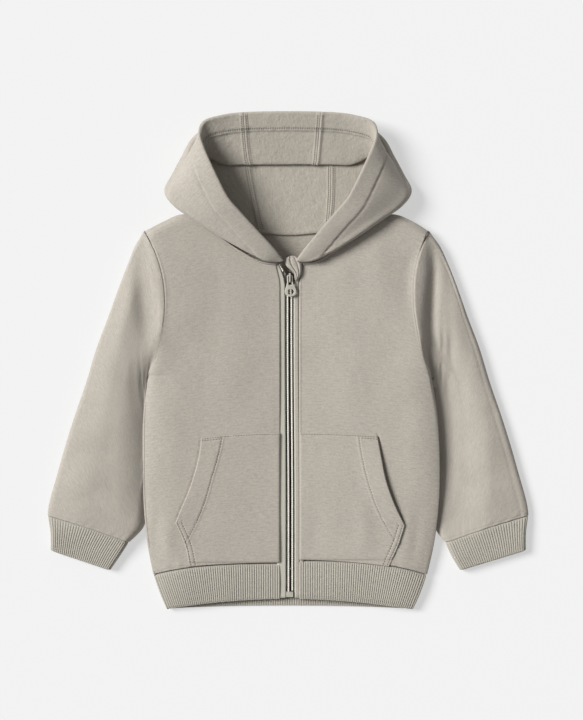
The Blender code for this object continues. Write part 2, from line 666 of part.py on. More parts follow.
def zip_chain(side, name, finish):
    """One row of teeth as a plain strip on its tape."""
    bottom = centre_height(CHAIN_Y) - TAPE_DEPTH + CHAIN_RISE
    low = np.array([[(ZIP_X + side * x, y, z) for x in (CHAIN_INNER, CHAIN_HALF)]
                    for y, z in zip(CHAIN_Y, bottom)])
    shell(name, low + (0, 0, CHAIN_HEIGHT), low, finish)


def outline_piece(name, outline, holes, low, high, finish):
    """A flat piece: a filled outline with holes, as thick as low to high."""
    curve = bpy.data.curves.new(name, "CURVE")
    curve.dimensions = "2D"
    curve.fill_mode = "BOTH"
    curve.extrude = (high - low) / 2 * MM
    for points in (outline, *holes):
        line = curve.splines.new("POLY")
        line.points.add(len(points) - 1)
        for point, (x, y) in zip(line.points, points):
            point.co = (x * MM, y * MM, 0.0, 1.0)
        line.use_cyclic_u = True
    holder = bpy.data.objects.new(name + "_curve", curve)
    garment.objects.link(holder)
    bpy.context.view_layer.update()
    mesh = bpy.data.meshes.new_from_object(holder.evaluated_get(bpy.context.evaluated_depsgraph_get()))
    bpy.data.objects.remove(holder)
    made = bmesh.new()
    made.from_mesh(mesh)
    bmesh.ops.remove_doubles(made, verts=made.verts, dist=1e-6)
    bmesh.ops.recalc_face_normals(made, faces=made.faces)
    bmesh.ops.translate(made, verts=made.verts, vec=(0.0, 0.0, (low + high) / 2 * MM))
    made.to_mesh(mesh)
    made.free()
    mesh.materials.clear()
    mesh.materials.append(finish)
    piece = bpy.data.objects.new(name, mesh)
    garment.objects.link(piece)
    return piece


def oval(centre_x, centre_y, half_x, half_y, count=14):
    """Points round an oval."""
    turn = np.linspace(0, 2 * np.pi, count, endpoint=False)
    return [(centre_x + half_x * np.cos(a), centre_y + half_y * np.sin(a)) for a in turn]


def bar(name, low, high, finish):
    """A plain block between two corners, its edges bevelled."""
    bpy.ops.mesh.primitive_cube_add(size=1.0)
    piece = bpy.context.object
    piece.name = name
    size = (np.array(high) - np.array(low)) * MM
    middle = (np.array(high) + np.array(low)) / 2 * MM
    for vertex in piece.data.vertices:
        vertex.co = [c * s + m for c, s, m in zip(vertex.co, size, middle)]
    for collection in list(piece.users_collection):
        collection.objects.unlink(piece)
    garment.objects.link(piece)
    piece.data.materials.append(finish)
    return piece


def union(base, others):
    """Join more closed shapes to a base with exact Booleans, and keep the result in its mesh."""
    for other in others:
        cut = base.modifiers.new("join", "BOOLEAN")
        cut.operation = "UNION"
        cut.solver = "EXACT"
        cut.object = other
    bpy.context.view_layer.update()
    mesh = bpy.data.meshes.new_from_object(base.evaluated_get(bpy.context.evaluated_depsgraph_get()))
    base.modifiers.clear()
    base.data = mesh
    for other in others:
        bpy.data.objects.remove(other)


def zip_slider(finish):
    """The slider: a top and a bottom plate round the tapes, joined by a wedge, with a bridge on top."""
    z = float(centre_height(SLIDER_Y)[0])
    chain_top = z - TAPE_DEPTH + CHAIN_RISE + CHAIN_HEIGHT
    top = (chain_top + 0.35, chain_top + 0.35 + PLATE)
    tape_low = z - TAPE_DEPTH - TAPE
    bottom = (tape_low - 0.4 - PLATE, tape_low - 0.4)
    low_y, high_y = SLIDER_Y
    plate = [(-SLIDER_HALF, low_y + 1.5), (-SLIDER_HALF + 1.2, low_y), (SLIDER_HALF - 1.2, low_y),
             (SLIDER_HALF, low_y + 1.5), (SLIDER_HALF, high_y - 3), (SLIDER_HALF - 2, high_y),
             (-SLIDER_HALF + 2, high_y), (-SLIDER_HALF, high_y - 3)]
    body = outline_piece("zip_slider", plate, (), top[0], top[1], finish)
    under = outline_piece("slider_bottom", plate, (), bottom[0], bottom[1], finish)
    wedge_low = (-1.0, high_y - 3.5, bottom[0] + 0.3)
    wedge = bar("slider_wedge", wedge_low, (1.0, high_y - 0.6, top[1] - 0.3), finish)
    rise = top[1] + BRIDGE_RISE
    arch = [(low_y + 1.2, top[1] - 0.4), (low_y + 1.2, rise - 1.0), (low_y + 2.4, rise), (high_y - 2.4, rise),
            (high_y - 1.2, rise - 1.0), (high_y - 1.2, top[1] - 0.4), (high_y - 2.6, top[1] - 0.4),
            (high_y - 2.6, rise - 1.3), (low_y + 2.6, rise - 1.3), (low_y + 2.6, top[1] - 0.4)]
    bridge = outline_piece("slider_bridge", arch, (), -0.9, 0.9, finish)
    turn = np.array([[0.0, 0.0, 1.0], [1.0, 0.0, 0.0], [0.0, 1.0, 0.0]])
    for vertex in bridge.data.vertices:
        vertex.co = turn @ np.array(vertex.co)
    union(body, (under, wedge, bridge))
    for vertex in body.data.vertices:
        vertex.co.x += ZIP_X * MM
    return top[1]


def zip_puller(plate_top, finish):
    """The pull tab: a teardrop plate with a slot round the bridge and an oval hole. Its cross bar, the hinge,
    lies on its own origin."""
    outline = PULL_HALF + [(0.0, PULL_TIP)] + [(-x, y) for x, y in PULL_HALF[::-1]]
    half, high, low = PULL_SLOT
    slot = [(-half, high), (half, high), (half, low), (-half, low)]
    holes = (slot, oval(*PULL_HOLE))
    tab = outline_piece("zip_puller", outline, holes, -PULL_PLATE / 2, PULL_PLATE / 2, finish)
    tab.location = (ZIP_X * MM, PULL_PIVOT_Y * MM, (plate_top + PULL_GAP + PULL_PLATE / 2) * MM)


def zip_guard(finish):
    """The rounded self-fabric guard that stands over the open top of the zip."""
    z = float(centre_height([NECK_Y])[0]) + GUARD_RISE
    outline_piece("zip_guard", GUARD, (), z, z + CLOTH, finish)


def build():
    """All the pieces of the garment."""
    fleece = material("fleece", (0.48, 0.45, 0.39), 0.9)
    rib = material("rib_knit", (0.45, 0.43, 0.37), 0.9)
    tape = material("zip_tape", (0.42, 0.42, 0.36), 0.8)
    metal = material("zip_metal", (0.55, 0.53, 0.47), 0.35, 1.0)
    back = back_panel(fleece)
    fronts = {}
    for side, word in ((-1, "right"), (1, "left")):
        outer, inner = front_panel(side)
        shell("front_" + word, outer, inner, fleece)
        fronts[side] = outer
        last = sleeve(side, "sleeve_" + word, fleece)
        cuff(side, "cuff_" + word, *last, rib)
        pocket(side, "pocket_" + word, fleece)
        zip_tape(side, "zip_tape_" + word, tape)
        zip_chain(side, "zip_chain_" + word, metal)
    hem(fronts[-1], back, fronts[1], rib)
    hood(fleece)
    zip_puller(zip_slider(metal), metal)
    z = float(centre_height([BOX_LOW[1]])[0])
    low = (ZIP_X + BOX_LOW[0], BOX_LOW[1], z - TAPE_DEPTH + CHAIN_RISE)
    bar("zip_box", low, (ZIP_X + BOX_HIGH[0], BOX_HIGH[1], z + 0.2), metal)
    zip_guard(fleece)


for old in list(bpy.data.objects):
    bpy.data.objects.remove(old)
garment = bpy.data.collections.new("fleece_sweatshirt")
bpy.context.scene.collection.children.link(garment)
build()
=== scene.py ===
# Looks of a child's zip-through hooded fleece sweatshirt, laid flat on its back on a pale table.
# Tables are in millimetres, seen from above: x to the wearer's left, y to the hood, z up from the table.
import bpy
import numpy as np
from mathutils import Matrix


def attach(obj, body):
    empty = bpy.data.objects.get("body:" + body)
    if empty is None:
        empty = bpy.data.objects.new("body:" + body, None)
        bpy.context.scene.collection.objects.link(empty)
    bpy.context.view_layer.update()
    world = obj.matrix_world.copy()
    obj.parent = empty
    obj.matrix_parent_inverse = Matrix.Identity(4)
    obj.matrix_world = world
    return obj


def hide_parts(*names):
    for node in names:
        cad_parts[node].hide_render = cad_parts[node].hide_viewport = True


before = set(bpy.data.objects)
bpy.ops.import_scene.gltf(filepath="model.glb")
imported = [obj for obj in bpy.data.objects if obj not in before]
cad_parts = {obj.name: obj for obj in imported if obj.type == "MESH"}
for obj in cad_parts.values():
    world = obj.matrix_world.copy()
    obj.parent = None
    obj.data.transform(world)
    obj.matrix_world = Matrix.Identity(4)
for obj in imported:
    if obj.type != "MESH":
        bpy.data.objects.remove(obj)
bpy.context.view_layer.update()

scene = bpy.context.scene
mm = 0.001
up = np.array((0.0, 0.0, 1.0))


# Smooth curve through rows of values: cubic pieces whose tangents are weighted means of both slopes.
def spline(keys, values, at):
    keys = np.asarray(keys, float)
    values = np.asarray(values, float).reshape(len(keys), -1)
    at = np.atleast_1d(np.asarray(at, float))
    step = np.diff(keys)[:, None]
    slope = np.diff(values, axis=0) / step
    middle = (slope[:-1] * step[1:] + slope[1:] * step[:-1]) / (step[1:] + step[:-1])
    tangent = np.vstack([slope[:1], middle, slope[-1:]])
    cell = np.clip(np.searchsorted(keys, at, side="right") - 1, 0, len(keys) - 2)
    width = step[cell]
    part = (at - keys[cell])[:, None] / width
    part2 = part * part
    part3 = part2 * part
    return ((2 * part3 - 3 * part2 + 1) * values[cell] + (part3 - 2 * part2 + part) * width * tangent[cell]
            + (3 * part2 - 2 * part3) * values[cell + 1] + (part3 - part2) * width * tangent[cell + 1])


# One column of a table as a smooth curve over its first column, for an array of any shape.
def column(table, number, at):
    table = np.asarray(table, float)
    return spline(table[:, 0], table[:, number], np.ravel(at)).reshape(np.shape(at))


# Distance run along one axis of a line or a grid of points.
def runAlong(points, axis=0):
    step = np.linalg.norm(np.diff(points, axis=axis), axis=-1)
    return np.concatenate([np.zeros_like(np.take(step, [0], axis)), np.cumsum(step, axis=axis)], axis=axis)


# Points of a smooth curve at shares 0 to 1 of its chord length in plan.
def along(points, at):
    points = np.asarray(points, float)
    keys = runAlong(points[:, :2])
    return spline(keys / keys[-1], points, at)


# Height share of a quarter round: 0 at an edge, 1 at its reach.
def roundOff(distance, reach):
    share = np.clip(distance / reach, 0.0, 1.0)
    return np.sqrt(1.0 - (1.0 - share) ** 2)


# Smooth step from 0 to 1.
def ease(share):
    share = np.clip(share, 0.0, 1.0)
    return share * share * (3.0 - 2.0 * share)


# A narrow groove round a line: a Gaussian of the distance from it.
def groove(distance, width):
    return np.exp(-(distance / width) ** 2)


# Shares from 0 to 1, closer together at both ends: the share less a sine of it.
def crowded(count, amount):
    share = np.linspace(0, 1, count)
    return share - amount * np.sin(2 * np.pi * share) / (2 * np.pi)


# Vectors divided by their length.
def unit(vectors):
    return vectors / np.maximum(np.linalg.norm(vectors, axis=-1, keepdims=True), 1e-9)


# Normals of a grid of points: cross product of its differences along and across.
def gridNormals(grid, ring=False):
    if ring:
        padded = np.concatenate([grid[:, -1:], grid, grid[:, :1]], axis=1)
        across = padded[:, 2:] - padded[:, :-2]
    else:
        across = np.gradient(grid, axis=1)
    return unit(np.cross(across, np.gradient(grid, axis=0)))


# One soft trough (depth below 0) or ridge along a path in plan: Gaussian blobs summed along it, so that
# it has its full depth in the middle and dies out at its ends.
def crease(points, path, width, depth):
    blobs = 30
    steps = np.linspace(0, 1, blobs + 1)
    line = along(path, steps)
    length = np.linalg.norm(np.diff(line, axis=0), axis=1).sum()
    strength = depth * np.sin(np.pi * steps) ** 0.7 * (length / blobs) / (width * np.sqrt(np.pi))
    offset = points[..., None, :2] - line
    return (np.exp(-(offset ** 2).sum(-1) / width ** 2) * strength).sum(-1)


# All the creases of one table: rows of (path, width, depth).
def creases(points, table):
    return sum(crease(points, path, width, depth) for path, width, depth in table)


# The slow unevenness of cloth that lies by itself: a few sines across each other.
def unevenness(x, y, seed):
    turn = np.sin(x / 31 + y / 47 + seed) * np.sin(y / 39 - x / 63 + 2 * seed)
    return turn + 0.5 * np.sin(x / 17 - y / 23 + 3 * seed) * np.sin(y / 19 + x / 27 + seed)


# Small ripples that a seam draws into cloth: uneven along it, gone `reach` away from it.
def pucker(run, gap, reach, height, seed=0.0):
    ripple = np.sin(run / 1.9 + seed + 1.3 * np.sin(run / 9 + seed)) + 0.6 * np.sin(run / 3.3 + 2 * seed)
    return height * ripple * np.exp(-gap / reach)


# Faces of one skin: quads between neighbouring rows and columns of an index grid.
def skinFaces(index):
    return np.stack([index[:-1, :-1], index[:-1, 1:], index[1:, 1:], index[1:, :-1]], axis=-1).reshape(-1, 4)


# A closed wall between an outer and an inner grid, both turned round for the wearer's right (side -1). The
# inner skin keeps every `thin`-th point of its grid, and a strip of faces joins both along each open edge.
# A ring closes on itself across its columns.
def clothWall(name, outer, inner, finishes, side=1, ring=False, thin=2, uv=None):
    if side < 0:
        outer, inner = outer[:, ::-1], inner[:, ::-1]
    uv = clothUv(outer, ring) if uv is None else uv
    inner = inner[::thin, ::thin]
    outerIndex = np.arange(outer[..., 0].size).reshape(outer.shape[:2])
    innerIndex = np.arange(inner[..., 0].size).reshape(inner.shape[:2]) + outerIndex.size
    if ring:
        outerIndex, innerIndex = (np.hstack([index, index[:, :1]]) for index in (outerIndex, innerIndex))
    outerUv = np.arange(uv[..., 0].size).reshape(uv.shape[:2])
    innerUv = outerUv[::thin, ::thin]
    faces = [(skinFaces(outerIndex), skinFaces(outerUv), 0),
             (skinFaces(innerIndex)[:, ::-1], skinFaces(innerUv)[:, ::-1], 1)]
    outerBoth, innerBoth = np.dstack([outerIndex, outerUv]), np.dstack([innerIndex, innerUv])

    # one strip: a quad for each step along the edge, or three triangles for two outer steps and one inner
    def strip(outside, inside):
        first, middle, last, low, high = outside[:-2:2], outside[1:-1:2], outside[2::2], inside[:-1], inside[1:]
        triangles = [(first, low, middle), (low, high, middle), (high, last, middle)]
        for corners in [(outside[:-1], low, high, outside[1:])] if thin == 1 else triangles:
            faces.append((*np.moveaxis(np.stack(corners, axis=1), 2, 0), 0))

    strip(outerBoth[0], innerBoth[0])
    strip(outerBoth[-1, ::-1], innerBoth[-1, ::-1])
    if not ring:
        strip(outerBoth[::-1, 0], innerBoth[::-1, 0])
        strip(outerBoth[:, -1], innerBoth[:, -1])
    points = np.concatenate([outer.reshape(-1, 3), inner.reshape(-1, 3)]) * mm
    return meshPiece(name, points, faces, uv.reshape(-1, 2) * mm, finishes)


# Such a wall on a base surface: its outer face stands `rise` over it, though never under the table, and its
# inner face lies `wall` under it.
def clothShell(name, base, normals, rise, wall, finishes, side=1, **options):
    outer = base + normals * rise[..., None]
    outer[..., 2] = np.maximum(outer[..., 2], 0.0)
    inner = base - normals * np.broadcast_to(wall, rise.shape)[..., None]
    return clothWall(name, outer, inner, finishes, side, **options)


# A mesh from whole arrays: points, groups of (faces, their places in the UV list, finish), and the UVs.
def meshPiece(name, points, groups, uv, finishes):
    mesh = bpy.data.meshes.new(name)
    sizes = np.concatenate([np.full(len(group[0]), group[0].shape[1]) for group in groups])
    corners, uvCorners = (np.concatenate([group[k].ravel() for group in groups]) for k in (0, 1))
    slots = np.concatenate([np.full(len(group[0]), group[2]) for group in groups])
    mesh.vertices.add(len(points))
    mesh.vertices.foreach_set("co", points.ravel())
    mesh.loops.add(len(corners))
    mesh.loops.foreach_set("vertex_index", corners.astype(np.int32))
    mesh.polygons.add(len(sizes))
    starts = np.concatenate([[0], np.cumsum(sizes)[:-1]])
    for field, values in (("loop_start", starts), ("loop_total", sizes), ("material_index", slots)):
        mesh.polygons.foreach_set(field, values.astype(np.int32))
    layer = mesh.uv_layers.new(name="cloth")
    layer.data.foreach_set("uv", uv[uvCorners].ravel())
    for finish in finishes:
        mesh.materials.append(finish)
    mesh.update()
    mesh.validate()
    mesh.shade_smooth()
    return placed(name, mesh)


# An object for a mesh, curve, light or camera, linked into the scene.
def placed(name, data):
    piece = bpy.data.objects.new(name, data)
    scene.collection.objects.link(piece)
    return piece


# Lengths run along the rows and columns of a grid, as UVs in millimetres.
def clothUv(grid, ring=False):
    if ring:
        grid = np.concatenate([grid, grid[:, :1]], axis=1)
    return np.dstack([runAlong(grid, 1), runAlong(grid, 0)])


# Copies of one small shape as a single mesh: the template's points are laid out in each copy's own
# axes (run, side, out) round its centre. Sizes scale the template along those axes.
def copies(name, template, faces, centres, run, out, sizes, finish):
    run = unit(run)
    out = unit(out - (out * run).sum(-1, keepdims=True) * run)
    axes = np.stack([run, np.cross(out, run), out], axis=1)
    local = template[None] * np.broadcast_to(sizes, (len(centres), 3))[:, None]
    points = centres[:, None] + np.einsum("cpk,ckx->cpx", local, axes)
    shift = (np.arange(len(centres)) * len(template))[:, None, None]
    groups = [((group[None] + shift).reshape(-1, group.shape[1]), np.tile(group, (len(centres), 1)), 0)
              for group in faces]
    uv = np.column_stack([template[:, 0], template[:, 1] + template[:, 2]]) * mm
    return meshPiece(name, points.reshape(-1, 3) * mm, groups, uv, (finish,))


# A stitch lying along x, 1 long, 1 wide and 1 high: six-sided rings with a pole at each end.
def stitchShape():
    sides = 6
    rings = [(-0.36, 0.36), (-0.12, 0.5), (0.12, 0.5), (0.36, 0.36)]     # place along it, radius
    points = [(x, r * np.cos(a), r * np.sin(a)) for x, r in rings for a in np.arange(sides) * 2 * np.pi / sides]
    index = np.arange(len(points)).reshape(-1, sides)
    index = np.concatenate([index, index[:, :1]], axis=1)
    first, last = (np.column_stack([row[:-1], row[1:], np.full(sides, pole)])
                   for row, pole in ((index[0], len(points)), (index[-1], len(points) + 1)))
    points += [(-0.5, 0.0, -0.25), (0.5, 0.0, -0.25)]                   # both poles
    return np.array(points), (skinFaces(index), np.concatenate([first, last[:, ::-1]]))


# Rows of stitches along paths on a surface: each path is (points, normals), and each stitch spans one
# pitch less a gap, turned by `slant` from its row, with its middle `sink` under the surface.
def stitches(name, paths, finish, pitch, width, gap, sink, slant):
    centres, runs, outs = [], [], []
    for points, normals in paths:
        length = runAlong(points)
        count = max(int(length[-1] / pitch), 1)
        at = (np.arange(count) + 0.5) * length[-1] / count
        ahead, behind = at + pitch * 0.3, at - pitch * 0.3
        place = lambda where, table: np.column_stack([np.interp(where, length, table[:, k]) for k in range(3)])
        centres.append(place(at, points) - unit(place(at, normals)) * sink)
        run, out = unit(place(ahead, points) - place(behind, points)), unit(place(at, normals))
        runs.append(run * np.cos(slant) + np.cross(out, run) * np.sin(slant))
        outs.append(out)
    template, faces = stitchShape()
    sizes = np.array((pitch - gap, width, width * 0.8))
    return copies(name, template, faces, np.vstack(centres), np.vstack(runs), np.vstack(outs), sizes, finish)


# Points of a grid at fractional row and column numbers, by the four neighbours' shares.
def onGrid(grid, row, place):
    row, place = np.clip(row, 0, grid.shape[0] - 1.001), np.clip(place, 0, grid.shape[1] - 1.001)
    r, c = row.astype(int), place.astype(int)
    a, b = (row - r)[:, None], (place - c)[:, None]
    return ((1 - a) * (1 - b) * grid[r, c] + (1 - a) * b * grid[r, c + 1]
            + a * (1 - b) * grid[r + 1, c] + a * b * grid[r + 1, c + 1])


# A Principled material with its plain values on the shader's own sockets, its node tree and its shader.
def newFinish(name, **values):
    finish = bpy.data.materials.new(name)
    finish.use_nodes = True
    shader = finish.node_tree.nodes["Principled BSDF"]
    for socket, value in values.items():
        shader.inputs[socket.replace("_", " ")].default_value = value
    return finish, finish.node_tree, shader


# One output of a new node. Values without a name go to its sockets in their order, names in small letters
# are its settings, and other names are sockets; a value that is a socket is linked.
def addNode(tree, kind, *numbered, out=0, **named):
    made = tree.nodes.new("ShaderNode" + kind)
    sockets = dict(enumerate(numbered))
    for key, value in named.items():
        if key.islower():
            setattr(made, key, value)
        else:
            sockets[key.replace("_", " ")] = value
    for key, value in sockets.items():
        if isinstance(value, bpy.types.NodeSocket):
            tree.links.new(value, made.inputs[key])
        else:
            made.inputs[key].default_value = value
    return made.outputs[out]


# One step of arithmetic on values or sockets.
def mathNode(tree, operation, *values):
    return addNode(tree, "Math", *values, operation=operation)


# Noise on the cloth's own UVs, with one feature every 1/across and 1/along metres.
def clothNoise(tree, cloth, across, along, roughness=0.5):
    place = addNode(tree, "Mapping", Vector=cloth, Scale=(across, along, 1.0))
    return addNode(tree, "TexNoise", Vector=place, Scale=1.0, Detail=2.0, Roughness=roughness)


# Noise through the solid, with `scale` features a metre.
def solidNoise(tree, solid, scale, detail=2.0, **values):
    return addNode(tree, "TexNoise", Vector=solid, Scale=scale, Detail=detail, **values)


# Waves on the cloth's own UVs, one every `pitch` millimetres.
def clothWave(tree, cloth, pitch, **values):
    oneBand = 0.314          # a wave texture's scale for one band a unit
    return addNode(tree, "TexWave", out=1, Vector=cloth, Scale=oneBand / (pitch * mm), **values)


# Sum of weighted values, each less its middle.
def weighed(tree, *parts):
    total = None
    for value, weight in parts:
        scaled = mathNode(tree, "MULTIPLY_ADD", value, weight, -0.5 * weight)
        total = scaled if total is None else mathNode(tree, "ADD", total, scaled)
    return total


# Base colour from a ramp between a dark and a light tone of one colour, `spread` apart, over a value round 0.
def toned(tree, value, tone, spread, tint=(0.0, 0.0, 0.0)):
    ramp = addNode(tree, "ValToRGB", Fac=mathNode(tree, "ADD", value, 0.5))
    for element, position, sign in zip(ramp.node.color_ramp.elements, (0.2, 0.8), (-1, 1)):
        element.position = position
        element.color = (*[c * (1 + sign * spread) + sign * t for c, t in zip(tone, tint)], 1.0)
    return ramp


# Gives a shader its colour and a bump: a value times a height in millimetres.
def dressed(tree, shader, colour, value, height=1.0):
    tree.links.new(colour, shader.inputs["Base Color"])
    bump = addNode(tree, "Bump", Height=mathNode(tree, "MULTIPLY", value, height * mm), Distance=1.0, Strength=1.0)
    tree.links.new(bump, shader.inputs["Normal"])


cloths = {
    # tone, roughness, sheen, melange spread, knit pitch (mm), nap height (mm)
    "jersey": ((0.420, 0.385, 0.334), 0.92, 0.22, 0.15, 0.95, 0.16),
    "brushed": ((0.405, 0.372, 0.318), 0.96, 0.35, 0.15, 0.0, 0.55),
    "rib": ((0.42, 0.393, 0.338), 0.90, 0.15, 0.10, 0.80, 0.10),
}


# Melange cloth: short darker and lighter streaks along the courses, soft blotches, and a nap of loose fibres
# as a fine bump, over rows of knit loops or, where the pitch is 0, over brushed tufts.
def melange(name, kind):
    tone, roughness, sheen, spread, pitch, nap = cloths[kind]
    finish, tree, shader = newFinish(name, Roughness=roughness, Sheen_Weight=sheen, Sheen_Roughness=0.55,
                                     Specular_IOR_Level=0.18)
    cloth, solid = addNode(tree, "UVMap", uv_map="cloth"), addNode(tree, "TexCoord", out="Object")
    long, short = clothNoise(tree, cloth, 130.0, 560.0, 0.6), clothNoise(tree, cloth, 420.0, 900.0, 0.7)
    mixed = weighed(tree, (long, 0.85), (short, 1.25), (solidNoise(tree, solid, 26.0), 0.30))
    fuzz = solidNoise(tree, solid, 780.0 if pitch else 330.0, 4.0, Roughness=0.62)
    if pitch:
        across = clothWave(tree, cloth, pitch, Distortion=0.6, Detail=1.0)
        down = clothWave(tree, cloth, 0.8 * pitch, Distortion=0.6, Detail=1.0, bands_direction="Y")
        relief = mathNode(tree, "MULTIPLY", mathNode(tree, "ADD", across, down), 0.05)
    else:
        relief = mathNode(tree, "MULTIPLY", solidNoise(tree, solid, 120.0), 0.8)
    height = mathNode(tree, "ADD", mathNode(tree, "MULTIPLY", fuzz, nap), relief)
    dressed(tree, shader, toned(tree, mixed, tone, spread, (0.004, 0.0, -0.003)), height)
    return finish


# Woven zip tape: close crosswise ribs and a slow unevenness of tone.
def wovenTape(name, dyeAndPaintedShade):
    finish, tree, shader = newFinish(name, Roughness=0.8, Sheen_Weight=0.2)
    cloth = addNode(tree, "UVMap", uv_map="cloth")
    weave = clothWave(tree, cloth, 0.9, Distortion=0.4, bands_direction="Y")
    grain = clothNoise(tree, cloth, 900.0, 260.0)
    dressed(tree, shader, toned(tree, weighed(tree, (weave, 0.35), (grain, 0.6)), dyeAndPaintedShade, 0.10),
            weighed(tree, (weave, 0.12), (grain, 0.1)))
    return finish


# Painted metal of the zip: fine cast unevenness, small worn patches that are smoother. An optional pair of heights
# adds painted
# shade: between them the colour rises from nearly black to its whole tone, so the low parts look shaded.
def zipMetal(name, tone, metallic, rough, paintedShade=None):
    finish, tree, shader = newFinish(name, Metallic=metallic)
    solid = addNode(tree, "TexCoord", out="Object")
    cast, worn = solidNoise(tree, solid, 900.0, 3.0), solidNoise(tree, solid, 240.0)
    colour = toned(tree, weighed(tree, (worn, 0.7), (cast, 0.4)), tone, 0.12)
    if paintedShade:
        # painted shade: the colour is scaled toward black on the low parts, by height
        height = addNode(tree, "SeparateXYZ", solid, out=2)
        lit = addNode(tree, "MapRange", Value=height, From_Min=paintedShade[0] * mm, From_Max=paintedShade[1] * mm,
                      To_Min=0.04, To_Max=1.0)
        colour = addNode(tree, "VectorMath", colour, Scale=lit, operation="SCALE")
    gloss = addNode(tree, "MapRange", Value=worn, From_Min=0.3, From_Max=0.7, To_Min=rough - 0.08,
                    To_Max=rough + 0.12)
    tree.links.new(gloss, shader.inputs["Roughness"])
    dressed(tree, shader, colour, cast, 0.05)
    return finish


# Spun sewing thread: twisted plies across each stitch.
def sewingThread(name, tone):
    finish, tree, shader = newFinish(name, Roughness=0.62, Sheen_Weight=0.3)
    cloth, solid = addNode(tree, "UVMap", uv_map="cloth"), addNode(tree, "TexCoord", out="Object")
    ply = clothWave(tree, cloth, 0.22, bands_direction="DIAGONAL")
    dyeAndPaintedShade = solidNoise(tree, solid, 260.0)
    dressed(tree, shader, toned(tree, weighed(tree, (ply, 0.4), (dyeAndPaintedShade, 0.6)), tone, 0.14), ply, 0.05)
    return finish


jersey = melange("melange_jersey", "jersey")
brushed = melange("brushed_inside", "brushed")
ribKnit = melange("rib_knit_cloth", "rib")
tapeCloth = wovenTape("woven_tape", (0.50, 0.484, 0.41))
# near-black tape for the channel beside the teeth: painted shade, standing in for the deep shadow on the real greige
# tape
paintedShadeTape = wovenTape("tape_painted_shade_under_teeth", (0.055, 0.052, 0.044))
toothMetal = zipMetal("zip_teeth_metal", (0.85, 0.82, 0.74), 0.10, 0.42)
tabMetal = zipMetal("zip_tab_metal", (0.52, 0.495, 0.425), 0.30, 0.42)
# the slider's plate under the tab is painted nearly black below 14.2 mm: painted shade
sliderPaintedShadeMetal = zipMetal("zip_slider_metal_painted_shade", (0.52, 0.495, 0.425), 0.30, 0.42, (14.2, 15.4))
thread = sewingThread("sewing_thread", (0.40, 0.37, 0.315))
# near-black thread for the hood's inside stitches and the pocket stitches: its dark tone is painted shade, the real
# thread matches the cloth
paintedShadeThread = sewingThread("inside_loop_thread_painted_shade", (0.12, 0.11, 0.09))
print("finishes done")

